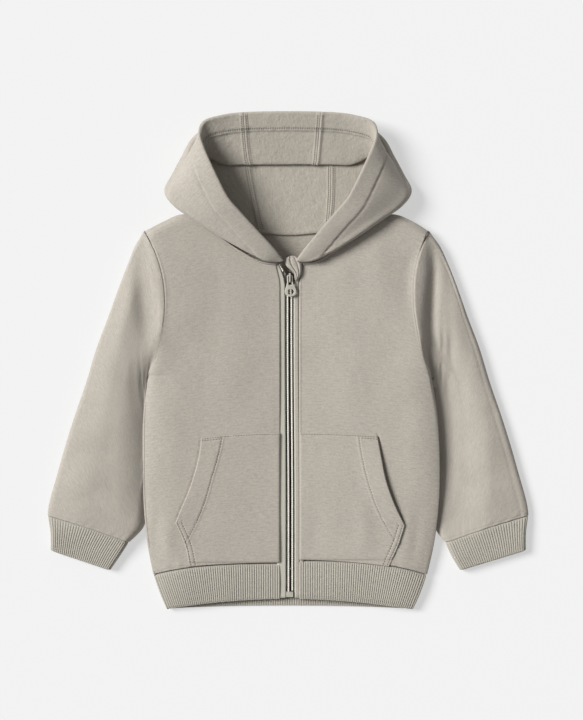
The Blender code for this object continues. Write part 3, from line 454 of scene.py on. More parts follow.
body = {
    "cloth": 2.2,            # wall of the fleece
    "rib": 2.6,              # wall of the doubled rib
    "frontGrid": (157, 241),         # points from the zip to the side and from hem to neck
    "backGrid": (81, 201),   # points from the middle to a side and from hem to neck
    "zipX": 1.7,             # centre line of the zip
    "zipEdge": 9.8,          # from the zip's centre to a front panel's edge
    "flare": (4.0, 78.0, 24.0),     # the panels' edges spread by this at the neck: amount, from y, over
    # by side: the side edge lies smooth up to this y and is sewn down in full this much higher
    "smooth": {-1: (30.0, 50.0), 1: (0.0, 40.0)},
    "hemSeamY": -209.0,
    "neckY": 101.0,          # and height of the front's corner by the zip
    "neckZ": 13.0,
    "hemEndY": -246.0,
    "fold": {-1: 8.0, 1: 3.5},      # by side: reach of the round side fold on the front
    "flank": {-1: (7.0, 38.0), 1: (4.4, 32.0)},    # by side: the front's fall towards it, and its reach
    "flankTop": (20.0, 60.0),        # that fall starts below this y and is whole this much lower
    "topRound": 10.0,        # reach of the front's round upper edge
    "backRound": 16.0,       # and of the back's
    "seamZ": 8.0,            # height of the side seam at its ends
    "bulge": {-1: 0.55, 1: 1.0},     # by side: share of its further rise between them
    "mouth": {-1: (1.1, 0.45), 1: (1.8, 0.85)},     # by side: depth and reach of the crease along a pocket's opening
    "lift": 7.0,             # height of the body's side over the table
    "liftReach": 32.0,
    "liftEnds": (-4.0, 24.0, 90.0),  # the lift fades out up to this y, over this length, and over this one at the hem
    # y, x right, x left, z: side seam from hem to underarm
    "sideSeam": [
        (-221, 139.2, 143.7, 8.0), (-190, 145, 150.5, 10.0), (-150, 149, 155.5, 11.5),
        (-100, 150, 156.5, 12.0), (-50, 149, 153.5, 11.0), (-18, 145, 148.5, 8.0),
    ],
    # y, x right, x left, z front, z back: armhole seam from underarm to shoulder tip
    "armhole": [
        (-18, 145, 148.5, 8.0, 8.0), (-12, 142, 146, 13.0, 3.2), (2, 136.5, 140.5, 16.5, 1.8),
        (30, 130, 134, 19.0, 1.2), (62, 127, 130, 19.5, 1.0), (90, 130, 131, 19.2, 1.0),
        (114, 138, 137, 17.5, 1.4), (128, 145.5, 143, 13.4, 3.0), (134, 149, 146, 8.0, 8.0),
    ],
    # x, y, z: neck seam to the neck point, then shoulder seam to the tip
    "frontTop": [
        (27, 103, 13.6), (49, 114, 15.0), (68, 127, 15.6), (83, 140, 13.5),
        (92, 150, 8.0), (110, 152, 8.0), (130, 144, 8.0), (147, 134, 8.0),
    ],
    "backTop": [
        (0, 131, 0.0), (28, 133, 0.0), (55, 138, 1.0), (76, 144, 4.5), (92, 150, 8.0),
        (110, 152, 8.0), (130, 144, 8.0), (147, 134, 8.0),
    ],
    # y, z at the zip, z half way, z by the right side fold, by the left one
    "frontHeight": [
        (-250, 9.0, 10.6, 11.6, 11.8), (-209, 10.6, 12.8, 14.0, 14.2), (-120, 12.6, 14.8, 16.6, 16.4),
        (-20, 12.9, 15.2, 17.6, 17.6), (60, 12.4, 15.8, 18.4, 17.8), (101, 13.0, 16.4, 18.2, 17.0),
        (150, 14.0, 17.0, 17.8, 16.6),
    ],
    # path, width, depth: soft troughs and ridges on the wearer's right and left front
    "rightFolds": [
        ([(-128, 28), (-112, 12), (-90, 2)], 11, -0.9), ([(-132, -22), (-118, -40), (-112, -66)], 12, -0.8),
        ([(-120, -205), (-124, -186), (-121, -160)], 7, 0.9), ([(-134, -212), (-137, -190), (-134, -150)], 6, -0.8),
        ([(-84, 92), (-66, 74), (-60, 44)], 16, -0.7), ([(-40, 20), (-58, -14), (-56, -52)], 18, 0.6),
    ],
    "leftFolds": [
        ([(122, 20), (106, 4), (84, -2)], 12, -0.8), ([(132, -30), (120, -52), (116, -84)], 13, -0.7),
        ([(76, -203), (80, -176), (74, -140)], 8, 0.8), ([(128, -210), (132, -186), (134, -150)], 6, -0.8),
        ([(78, 96), (64, 70), (66, 42)], 15, -0.6), ([(44, 4), (62, -22), (58, -60)], 17, 0.6),
        ([(24, -204), (30, -168), (26, -128)], 10, -0.5), ([(96, 132), (93, 100), (96, 64)], 15, 1.3),
        ([(130, 116), (124, 84), (123, 48)], 11, -1.2),
    ],
    "backFolds": [
        ([(-120, 20), (-70, -10), (-10, -6)], 14, 1.0), ([(122, -30), (76, -58), (24, -64)], 12, 1.0),
        ([(-96, -196), (-84, -150), (-88, -110)], 9, 0.9), ([(64, -200), (70, -168), (60, -128)], 10, 0.8),
    ],
}

# by side: y, x of a pocket's opening from its lower corner to its top
pocketOpening = {
    -1: [(-167, 116), (-153, 110.5), (-137, 103.5), (-118, 97), (-96, 91.5), (-76, 89)],
    1: [(-170, 120.5), (-149, 110.5), (-126, 102), (-98, 96), (-76, 92)],
}


# Half width of the body on one side at a height y: the side seam, then the armhole.
def sideWidth(y, side):
    number = 1 if side < 0 else 2
    return column([(row[0], row[number]) for row in body["sideSeam"] + body["armhole"][1:]], 1, y)


# Points of one side from hem (share 0) by the underarm (0.5) to the shoulder tip (1).
def sideEdge(side, share, back=False):
    number = 1 if side < 0 else 2
    ends, kept = body["seamZ"], body["bulge"][side]
    seam = [(side * row[number], row[0], ends + (row[3] - ends) * kept) for row in body["sideSeam"]]
    arm = [(side * row[number], row[0], row[4 if back else 3]) for row in body["armhole"]]
    low = along(seam, np.clip(2 * share, 0, 1))
    high = along(arm, (1 - np.cos(np.pi * np.clip(2 * share - 1, 0, 1))) / 2)
    return np.where((share < 0.5)[:, None], low, high)


# Distance of a front panel's edge from x = 0: half the open width, more or less the zip's place.
def zipEdge(side):
    return body["zipEdge"] + side * body["zipX"]


# How far a front panel's edge, or the tape under it, spreads from the zip near the neck.
def flared(y):
    amount, start, reach = body["flare"]
    return amount * ease((np.asarray(y, float) - start) / reach)


# Height of the front's outer face: a plateau, rounded down to its side and upper edges.
def frontHeight(x, y, sideGap, topGap, sideZ, topZ):
    side = 1 if np.mean(x) > 0 else -1
    zipZ, halfZ, highZ = (column(body["frontHeight"], number, y) for number in (1, 2, 3 if side < 0 else 4))
    fromZip = np.abs(x - body["zipX"]) - body["zipEdge"]
    share = np.clip(fromZip / np.maximum(fromZip + sideGap, 1e-6), 0, 1)
    plateau = zipZ + (halfZ - zipZ) * ease(share * 2) + (highZ - halfZ) * ease(share * 2 - 1)
    (fall, reach), (top, deep) = body["flank"][side], body["flankTop"]
    fall = np.clip(highZ - sideZ - 0.5, 0.0, fall)       # never down to the side seam, which would leave a lip
    plateau = plateau - fall * (1 - np.clip(sideGap / reach, 0, 1)) ** 2 * ease((top - y) / deep)
    z = sideZ + (plateau - sideZ) * roundOff(sideGap, body["fold"][side])
    return topZ + (z - topZ) * roundOff(topGap, body["topRound"])


# Plan of a panel: straight rows from side to side, bent to its lower edge at the bottom and to its upper
# edge at the top, each in the cube of the height share.
def panelPlan(bottom, top, left, right, height):
    share = runAlong(bottom[:, :2])[None, :, None]
    share = share / share[0, -1, 0]
    height = height[:, None, None]
    straight = left[:, None, :2] * (1 - share) + right[:, None, :2] * share
    lowBend = bottom[None, :, :2] - straight[:1]
    highBend = top[None, :, :2] - straight[-1:]
    return straight + (1 - height) ** 3 * lowBend + height ** 3 * highBend


# Lower edge of a front panel, in plan, at shares from the zip to the side; it hangs level by the zip.
def frontBottom(side, share):
    start = np.array((side * zipEdge(side), body["hemSeamY"] + (3.0 if side > 0 else 0.0)))
    end = sideEdge(side, np.array([0.0]))[0, :2]
    return np.column_stack([start[0] + (end[0] - start[0]) * share, start[1] + (end[1] - start[1]) * share ** 3])


# Outer face of a front panel, from the zip to the side and from the hem to the neck, with the gaps to
# each of its edges.
def frontGrid(side, height, share):
    edge, tip = sideEdge(side, height), sideEdge(side, np.array([1.0]))[0]
    rise = (edge[:, 1] - edge[0, 1]) / (tip[1] - edge[0, 1])
    bottom = frontBottom(side, share)
    zipY = bottom[0, 1] + (body["neckY"] - bottom[0, 1]) * rise
    left = np.column_stack([side * (zipEdge(side) + flared(zipY)), zipY])
    seam = [(side * row[0], row[1], row[2]) for row in body["frontTop"][:-1]]
    neckX = side * (zipEdge(side) + flared(body["neckY"]))
    top = along([(neckX, body["neckY"], body["neckZ"]), *seam, tuple(tip)], share)
    plan = panelPlan(bottom, top, left, edge[:, :2], height)
    halfWidth = np.abs(edge[:, 0])[:, None] - zipEdge(side)
    sideGap = (1 - share)[None, :] * halfWidth
    topGap = np.maximum(top[None, :, 1] - plan[..., 1], 0)
    z = frontHeight(plan[..., 0], plan[..., 1], sideGap, topGap, edge[:, 2][:, None], top[:, 2][None, :])
    gaps = {"zip": share[None, :] * halfWidth, "side": sideGap, "top": topGap,
            "hem": np.maximum(plan[..., 1] - bottom[None, :, 1], 0)}
    return np.dstack([plan, z]), gaps


# Outer face of the back panel, from the wearer's right to the left and from the hem to the neck.
def backGrid(height, share):
    right, left = sideEdge(-1, height, back=True), sideEdge(1, height, back=True)
    bottom = right[0] + (left[0] - right[0]) * ((share + 1) / 2)[:, None]
    bottom[:, 1] += 6.0 * (1 - share ** 2)
    half = np.abs(share)
    tops = []
    for side in (-1, 1):
        tip = sideEdge(side, np.array([1.0]), back=True)[0]
        points = [(side * row[0], row[1], row[2]) for row in body["backTop"][:-1]] + [tuple(tip)]
        tops.append(along(points, half))
    top = np.where((share < 0)[:, None], tops[0], tops[1])
    plan = panelPlan(bottom, top, right[:, :2], left[:, :2], height)
    reach = np.where(share < 0, np.abs(right[:, :1]), left[:, :1])
    sideGap = (1 - half)[None, :] * reach
    sideZ = np.where(share < 0, right[:, 2:], left[:, 2:])
    topGap = np.maximum(top[None, :, 1] - plan[..., 1], 0)
    underarm, fade, hemFade = body["liftEnds"]
    below = ease((underarm - plan[..., 1]) / fade)
    lift = body["lift"] * ease((plan[..., 1] - body["hemEndY"]) / hemFade) * below
    lift = np.minimum(lift, sideZ)
    z = lift * ease(1 - sideGap / body["liftReach"])
    z = z + (sideZ - lift) * (1 - roundOff(sideGap, 4 + 10.0 * (1 - below)))
    z = z + (top[:, 2][None, :] - z) * (1 - roundOff(topGap, body["backRound"]))
    gaps = {"side": sideGap, "top": topGap, "hem": np.maximum(plan[..., 1] - bottom[None, :, 1], 0)}
    return np.dstack([plan, np.maximum(z, 0.0)]), gaps


# A sewn edge: the face falls by `depth` in a quarter round over `reach`.
def sewn(gap, depth=1.5, reach=2.2):
    return depth * (roundOff(gap, reach) - 1)


# Share of that fall left along a side: none from the hem up past the underarm, where the cloth is pulled
# smooth over the seam.
def pulled(side, y):
    start, reach = body["smooth"][side]
    return ease((y - start) / reach)


# Distance of a pocket's opening from the middle, at a height.
def openingX(side, y):
    rows = pocketOpening[side]
    return column(rows, 1, np.clip(y, rows[0][0], rows[-1][0]))


# What cloth does between its seams: folds, slow unevenness, puckers along each seam, a ridge by
# the neck, and the crease along a pocket's opening.
def frontDetail(side, base, gaps):
    x, y = base[..., 0], base[..., 1]
    detail = sewn(gaps["zip"], 1.0, 1.5) + sewn(gaps["hem"], 1.7, 2.6) + sewn(gaps["top"], 1.5, 2.4)
    detail += (0.5 if side > 0 else 0.0) * groove(gaps["zip"] - 1.1, 0.7)
    detail += (sewn(gaps["side"], 1.3, 2.6) + 0.3 * groove(gaps["side"] - 1.6, 0.8)) * pulled(side, y)
    detail += 2.0 * groove(gaps["top"] - 1.5, 0.9) * ease((60 - np.abs(x)) / 20)         # ridge by the neck
    beside = np.abs(x) - openingX(side, y)
    held = ease((y - pocketOpening[side][0][0]) / 8) * ease((-74 - y) / 4)
    deep, reach = body["mouth"][side]
    detail -= deep * groove(beside - 0.45, reach) * held
    detail -= 0.25 * groove(gaps["top"] - 3.2, 0.8) + 0.35 * groove(gaps["hem"] - 2.4, 0.9)
    # away from every seam
    away = ease(gaps["side"] / 12) * ease(gaps["zip"] / 9) * ease(gaps["top"] / 12) * ease(gaps["hem"] / 8)
    detail += 0.30 * unevenness(x, y, 1.0 + side) * away
    detail += creases(base, body["rightFolds" if side < 0 else "leftFolds"]) * ease(gaps["side"] / 8)
    detail += pucker(x, gaps["hem"], 7.0, 0.16, side) + pucker(x + y, gaps["top"], 5.0, 0.07, 2 * side)
    return detail


# One front: its grid from the zip to the side, dressed with what cloth does between its seams.
def frontPanel(side, name):
    columns, rows = body["frontGrid"]
    base, gaps = frontGrid(side, crowded(rows, 0.6), crowded(columns, 0.45))
    normals = gridNormals(base)
    normals *= np.sign(normals[rows // 2, columns // 2, 2])
    return clothShell(name, base, normals, frontDetail(side, base, gaps), body["cloth"], (jersey, brushed), side)


# The back, whose folds stand up inside the body while its outer face lies on the table.
def backPanel(name):
    columns, rows = body["backGrid"]
    half = crowded(columns, 0.5)
    base, gaps = backGrid(crowded(rows, 0.6), np.concatenate([-half[:0:-1], half]))
    normals = gridNormals(base)
    normals *= -np.sign(normals[rows // 2, columns, 2])
    resting = base[..., 2] < 1.0             # on the table the outer face looks down, whatever its edge does
    normals[resting, 2] = -np.abs(normals[resting, 2])
    detail = 0.5 * (sewn(gaps["hem"]) + sewn(gaps["top"]) + sewn(gaps["side"]) * pulled(1, base[..., 1]))
    inside = creases(base, body["backFolds"]) + 0.3 * unevenness(base[..., 0], base[..., 1], 4.0)
    inside = np.maximum(inside, 0.0) * ease(gaps["side"] / 25) * ease(gaps["top"] / 12) * ease(gaps["hem"] / 12)
    return clothShell(name, base, normals, detail, body["cloth"] + 0.5 * inside, (jersey, brushed), -1)


frontRight = frontPanel(-1, "front_right_cloth")
frontLeft = frontPanel(1, "front_left_cloth")
back = backPanel("back_panel_cloth")
print("body panels done")

sleeves = {
    # out x, out y, in x, in y, bow, z out, z in, share of the full height
    "rings": [
        (152, 129, 146.2, -20.5, 14, 7.5, 5.5, 1.0), (158, 119, 146.8, -27, 8, 7.0, 4.5, 1.0),
        (164, 104, 146.6, -38, 2, 6.5, 3.2, 1.0), (173, 81, 144.6, -52, 0, 6.0, 3.0, 1.0),
        (186, 45, 143, -70, 0, 6.0, 3.0, 1.0), (198, 13, 141.5, -88, 0, 6.0, 3.0, 1.0),
        (209, -23, 142, -104, 0, 6.0, 3.0, 0.98), (221, -58, 145, -119, 0, 6.0, 3.0, 0.96),
        (231, -90, 147.2, -136, 0, 6.0, 3.2, 0.92), (239.5, -120, 147.2, -157, 1, 6.0, 3.4, 0.88),
        (246.5, -145, 150, -173, 3, 6.0, 4.2, 0.82), (249, -160, 164, -188, 4, 6.0, 6.0, 0.74),
    ],
    # by side: height of the round outer edge and its reach, height of the slope inside it and its reach,
    # level of the low strip beside the body, its width, and the reach of the rise from it
    "section": {-1: (3.5, 5.0, 8.5, 40.0, 10.2, 0.0, 27.0), 1: (4.0, 4.5, 5.5, 50.0, 4.6, 14.0, 38.0)},
    # by side: number of a ring (0 at the armhole, 12 at the cuff), how far the sleeve sinks to that strip
    "strip": {-1: [(0, 1.0), (8, 1.0), (10, 0.75), (11, 0.4), (12, 0.15)],
              1: [(0, 0.5), (1, 0.65), (2, 0.85), (3, 1.0), (10, 1.0), (11, 0.85), (12, 0.3)]},
    "tucked": [(0, 9), (3, 8), (5, 5), (9, 6), (11, 12), (12, 7)],    # reach of the round inner edge, along the rings
    "raised": {-1: 4.5, 1: 0.0},    # by side: the strip's rise along the armhole
    "raisedFrom": (-20.0, 30.0),    # y, and length of that rise
    "underRound": 8.0,       # reach of the round edges underneath
    "grid": (96, 48, 201),   # points over the top, underneath, and from armhole to cuff
    "cuffRings": 19,
    "ribPoints": 8,          # of a cuff, on each rib
    "underarm": (28.0, 36.0),    # the strip starts below this height and is whole this much lower
    # out x, out y, in x, in y, crown, after the seam
    "cuff": {-1: [(246, -179, 174.5, -204, 11.0), (246, -196, 183.5, -217, 10.0)],
             1: [(246.5, -179, 169.5, -204, 11.0), (246.5, -196, 177.6, -217, 10.0)]},
    # the rings fit the narrower side of the body. The inner edge follows the wider one down to a y, faded over a
    # length above it; the lower corner shifts by an x, below a y, over a length; both fade out over a width
    # from an x inwards
    "beside": (-190, 30),
    "corner": {-1: 0.0, 1: -4.0},
    "cornerY": (-165, 20),
    "innerX": (180, 30),
    "floorRound": 5.0,       # square of the width of the bend where the long fold meets its floor
    "pressed": (7.5, 1.6, 0.25, 12.0, 30.0),   # place, width, depth, start from the armhole, fade
    "ribs": 33,              # on each face of a cuff
    "ribHeight": 0.75,
    # path, width, depth: two for the long fold from the shoulder into the valley beside the body, then others
    "rightFolds": [
        ([(-148, 118), (-150, 102), (-150.5, 73), (-147, 42), (-146, 14)], 10, -6.0),
        ([(-139, 112), (-140, 78), (-138, 50), (-138, 24)], 7, -2.2),
        ([(-143, 103), (-140, 90), (-136, 66)], 2.6, 0.8), ([(-226, -104), (-204, -92), (-176, -96)], 9, -1.1),
        ([(-233, -128), (-212, -122), (-190, -128)], 10, 0.8), ([(-178, 34), (-166, 12), (-160, -22)], 11, 0.9),
        ([(-214, -60), (-196, -48), (-176, -52)], 10, -0.8), ([(-222, -148), (-208, -140), (-186, -152)], 7, -0.9),
        ([(-160, 92), (-170, 66), (-182, 38)], 9, -0.7),
    ],
    "leftFolds": [
        ([(149, 118), (150.5, 98), (149, 73), (147.5, 42), (149.5, 12), (152, -20), (154, -48)], 6.0, -8.5),
        ([(158, 114), (158, 73), (158, 42), (160, 12), (163, -26), (166, -54)], 13, -5.6),
        ([(158, 84), (162, 60), (170, 30)], 10, -0.6), ([(196, -60), (214, -52), (226, -66)], 8, -1.0),
        ([(176, -96), (200, -90), (224, -102)], 10, 0.9), ([(186, -128), (206, -118), (232, -126)], 9, -0.9),
        ([(184, -150), (204, -142), (228, -150)], 8, 0.7), ([(182, 6), (186, -24), (192, -56)], 10, 0.6),
    ],
}


# Shares round a ring: over the top from its outer edge to its inner edge, and back underneath.
def ringShares(topCount, lowCount, even=False):
    top, low = np.arange(topCount + 1) / topCount, np.arange(lowCount + 1) / lowCount
    if not even:
        top, low = (1 - np.cos(np.pi * top)) / 2, (1 - np.cos(np.pi * low)) / 2
    return top, low[-2:0:-1]


# Control rings of a sleeve from the armhole to the cuff seam. Over the top the height rises in a quarter
# round at the outer edge, then in a quarter sine, and falls again to the low strip beside the body.
def sleeveControl(side, top, low):
    number = 1 if side < 0 else 2
    front = [(side * row[number], row[0], row[3]) for row in body["armhole"]]
    behind = [(side * row[number], row[0], row[4]) for row in body["armhole"]]
    rings = [np.vstack([along(front, 1 - top), along(behind, 1 - low)])]
    rim, rimReach, slope, slopeReach, strip, width, rise = sleeves["section"][side]
    (besideEnd, besideFade), (cornerStart, cornerFade) = sleeves["beside"], sleeves["cornerY"]
    (innerX, innerReach), (startY, deep) = sleeves["innerX"], sleeves["underarm"]
    raisedY, raisedFade = sleeves["raisedFrom"]
    for place, (outX, outY, inX, inY, bow, zOut, zIn, full) in enumerate(sleeves["rings"], 1):
        outer, inner = np.array((outX, outY)), np.array((inX, inY))
        length = np.linalg.norm(inner - outer)
        halves = []
        for share, over in ((top, True), (low, False)):
            plan = outer + (inner - outer) * share[:, None]
            plan[:, 0] -= 4 * bow * share * (1 - share)
            wider = sideWidth(plan[:, 1], side) - sideWidth(plan[:, 1], -1)
            wider = wider * ease((plan[:, 1] - besideEnd) / besideFade)
            wider = wider + sleeves["corner"][side] * ease((cornerStart - plan[:, 1]) / cornerFade)
            plan[:, 0] += wider * ease((innerX - plan[:, 0]) / innerReach)
            out, beside = length * share, length * (1 - share)
            if over:
                crest = rim * roundOff(out, rimReach) + slope * np.sin(np.pi / 2 * np.clip(out / slopeReach, 0, 1))
                crest = zOut + crest * full
                whole = float(column(sleeves["strip"][side], 1, [place])[0]) * ease((startY - plan[:, 1]) / deep)
                level = strip + sleeves["raised"][side] * ease((plan[:, 1] - raisedY) / raisedFade)
                fromBody = np.maximum(plan[:, 0] - sideWidth(plan[:, 1], side) - width, 0)
                short = 1 - np.clip(fromBody / rise, 0, 1)
                # the rise from the strip: the square of the missing share, or on the left a flatter smooth step
                short = short ** 2 if side < 0 else ease(short * 0.8 + 0.1) / ease(0.9)
                z = crest - (crest - level) * whole * short
                z = zIn + (z - zIn) * roundOff(beside, float(column(sleeves["tucked"], 1, [place])[0]))
            else:
                z = (zOut + (zIn - zOut) * share) * (1 - roundOff(np.minimum(out, beside), sleeves["underRound"]))
            halves.append(np.column_stack([side * plan[:, 0], plan[:, 1], z]))
        rings.append(np.vstack(halves))
    return np.array(rings)


# Rings between control rings: a smooth curve through each column of points.
def betweenRings(control, count, crowd):
    keys = runAlong(control.mean(axis=1))
    at = crowded(count, crowd) * keys[-1]
    return spline(keys, control.reshape(len(control), -1), at).reshape(count, -1, 3), at


# Normals of a tube of rings, turned so that they point away from each ring's middle.
def ringNormals(rings):
    normals = gridNormals(rings, ring=True)
    middle = rings.mean(axis=1, keepdims=True)
    return normals * np.sign(((rings - middle) * normals).sum(axis=(1, 2), keepdims=True))


# The long fold sinks both skins of the upper layer, down to a floor that it meets in a round bend: the mean of
# the spare height and its root sum of squares. Finer folds only shape the outer face.
def sleeve(side, name):
    over, under, rows = sleeves["grid"]
    top, low = ringShares(over, under)
    rings, distance = betweenRings(sleeveControl(side, top, low), rows, 0.6)
    folds = sleeves["rightFolds" if side < 0 else "leftFolds"]
    upper = np.zeros(rings.shape[1])
    upper[:len(top)] = ease(np.minimum(top, 1 - top) / 0.06)
    fromSeam = ease(distance / 7)[:, None]
    sunk = creases(rings, folds[:2]) * upper * fromSeam
    least = np.minimum(2 * body["cloth"] + 0.4, rings[..., 2])       # both layers, one on the other
    spare = rings[..., 2] + sunk - least
    softened = (spare + np.sqrt(spare ** 2 + sleeves["floorRound"])) / 2 - np.maximum(spare, 0)
    rings[..., 2] = least + np.maximum(spare, 0) + softened * upper * fromSeam
    normals = ringNormals(rings)
    x, y = rings[..., 0], rings[..., 1]
    fromRim = np.zeros(rings.shape[:2])
    fromRim[:, :len(top)] = np.linalg.norm(rings[:, :1] - rings[:, len(top) - 1:len(top)], axis=2) * top
    # sewn edges at both ends, the groove by the cuff, then folds, unevenness and the cuff seam's ripples
    detail = sewn(distance, 0.6 if side < 0 else 1.0, 1.4)[:, None] * pulled(side, y)
    detail = detail + sewn(distance[-1] - distance, 1.4, 2.4)[:, None]
    detail = detail - 0.3 * groove(distance[-1] - distance - 2.6, 0.9)[:, None]
    detail = detail + (creases(rings, folds[2:]) + 0.35 * unevenness(x, y, 6.0 + side)) * upper * fromSeam
    detail = detail + pucker(x - y, distance[-1] - distance[:, None], 6.0, 0.16, side) * np.maximum(upper, 0.3)
    if side > 0:             # a faint pressed line along the outer edge
        place, width, depth, start, fade = sleeves["pressed"]
        detail = detail - depth * groove(fromRim - place, width) * ease((distance - start) / fade)[:, None] * upper
    return clothShell(name, rings, normals, detail, body["cloth"], (jersey, brushed), side, ring=True)


# Cross-section of rib knit: broad round ridges with narrow grooves between them, `number` counted from
# one groove to the next.
def ribbed(number, height):
    return height * (1 - np.abs(2 * (number % 1.0) - 1) ** 2.6) - height


# A rib cuff: a tube from the sleeve's last ring through flat ovals with round edges, ribbed all round.
def cuff(side, name):
    count = sleeves["ribs"] * sleeves["ribPoints"]
    top, low = ringShares(count, count, even=True)
    rings = [sleeveControl(side, top, low)[-1]]
    for outX, outY, inX, inY, crown in sleeves["cuff"][side]:
        outer, inner = np.array((outX, outY)), np.array((inX, inY))
        halves = []
        for share, sign in ((top, 1), (low, -1)):
            plan = outer + (inner - outer) * share[:, None]
            gap = np.linalg.norm(inner - outer) * np.minimum(share, 1 - share)
            z = crown / 2 * (1 + sign * roundOff(gap, crown / 2))
            halves.append(np.column_stack([side * plan[:, 0], plan[:, 1], z]))
        rings.append(np.vstack(halves))
    rings, distance = betweenRings(np.array(rings), sleeves["cuffRings"], 0.6)
    normals = ringNormals(rings)
    # the ribs run out at the seam and get lower at the fold
    fade = np.minimum(ease(distance / 2.5), 0.4 + 0.6 * ease((distance[-1] - distance) / 3))[:, None]
    detail = ribbed(np.arange(rings.shape[1]) / sleeves["ribPoints"], sleeves["ribHeight"])[None, :] * fade
    detail = detail + sewn(distance, 1.6, 4.0)[:, None] + sewn(distance[-1] - distance, 1.5, 2.0)[:, None]
    return clothShell(name, rings, normals, detail, body["rib"], (ribKnit, ribKnit), side, ring=True)


sleeveRight = sleeve(-1, "sleeve_right_cloth")
sleeveLeft = sleeve(1, "sleeve_left_cloth")
cuffRight = cuff(-1, "cuff_right_rib")
cuffLeft = cuff(1, "cuff_left_rib")
print("sleeves done")

hem = {
    "side": 140.0,           # half width at which the drop below is reached
    "drawIn": 0.098,         # share of the width that the rib draws in at its lower edge
    "frontDrop": 10.5,       # of the front's lower edge from the zip to the side
    "backY": -253.5,
    "backDrop": 3.0,
    "sideY": -257.0,
    "frontRibs": (55, 8),    # on each front, points on each
    "backRibs": (116, 6),
    "rows": 17,
    # height of the lower fold: in front this share of the seam's and this much more, behind this share of it
    "fold": (0.72, 1.8, 0.6),
    "turn": 16,              # points over which the band turns from front to back
    "ribHeight": 0.8,
    "puff": 0.9,             # of the doubled rib between its seam and its fold
}


# The rib hem: one band from zip edge to zip edge, round both sides and the back, with ribs square to it.
def hemBand(name):
    (frontRibs, frontEach), (backRibs, backEach) = hem["frontRibs"], hem["backRibs"]
    front, behind = np.linspace(0, 1, frontRibs * frontEach + 1), np.linspace(-1, 1, backRibs * backEach + 1)
    rows = np.linspace(0, 1, 9)      # of which only the lowest is used
    right, left = (frontGrid(side, rows, front)[0][0] for side in (-1, 1))
    under = backGrid(rows, behind)[0][0]
    seam = np.vstack([right[:-1], under, left[::-1][1:]])
    number = np.arange(len(seam))
    joins = (len(right) - 1, len(right) + len(under) - 2)
    onFront = (number < joins[0]) | (number > joins[1])
    ribs = np.concatenate([np.arange(len(right) - 1) / frontEach, frontRibs + np.arange(len(under)) / backEach,
                           frontRibs + backRibs + np.arange(1, len(left)) / frontEach])
    reach = np.abs(seam[:, 0]) / hem["side"]
    end = seam.copy()
    end[:, 0] *= 1 - hem["drawIn"] * ease(reach * 1.2 - 0.2)
    edgeY = body["hemEndY"] - hem["frontDrop"] * reach ** 1.7
    turned = ease(np.minimum(np.abs(number - joins[0]), np.abs(number - joins[1])) / hem["turn"])
    backY = hem["backY"] - hem["backDrop"] * reach ** 2
    end[:, 1] = hem["sideY"] + (np.where(onFront, edgeY, backY) - hem["sideY"]) * turned
    frontShare, more, backShare = hem["fold"]
    end[:, 2] = np.where(onFront, frontShare * seam[:, 2] + more, seam[:, 2] * backShare)
    share = crowded(hem["rows"], 0.5)[:, None, None]
    start = seam - (0, 0.6, 0)
    base = start + (end - start) * share
    normals = gridNormals(base)
    above = base[..., 2] - base[..., 2].mean()
    normals *= np.sign((above * normals[..., 2]).sum())
    height = np.linalg.norm(end - start, axis=1)[None, :]
    down, left = height * share[..., 0], height - height * share[..., 0]
    edge = np.minimum(number, number[::-1])[None, :] * 0.3       # from the open ends, in about millimetres
    fade = np.minimum(ease(down / 2.5), 0.35 + 0.65 * ease(left / 3)) * ease(edge / 3)
    detail = ribbed(ribs, hem["ribHeight"])[None, :] * fade + hem["puff"] * np.sin(np.pi * share[..., 0]) * onFront
    detail = detail + sewn(down, 1.6, 4.0) + sewn(left, 1.6, 2.2) + sewn(edge, 1.2, 1.6)
    inside = ribbed(ribs, hem["ribHeight"])[None, :] * fade + sewn(left, 1.0, 2.2)
    return clothShell(name, base, normals, detail, body["rib"] + inside, (ribKnit, ribKnit), thin=1)


hemRib = hemBand("hem_rib_band")
print("hem done")

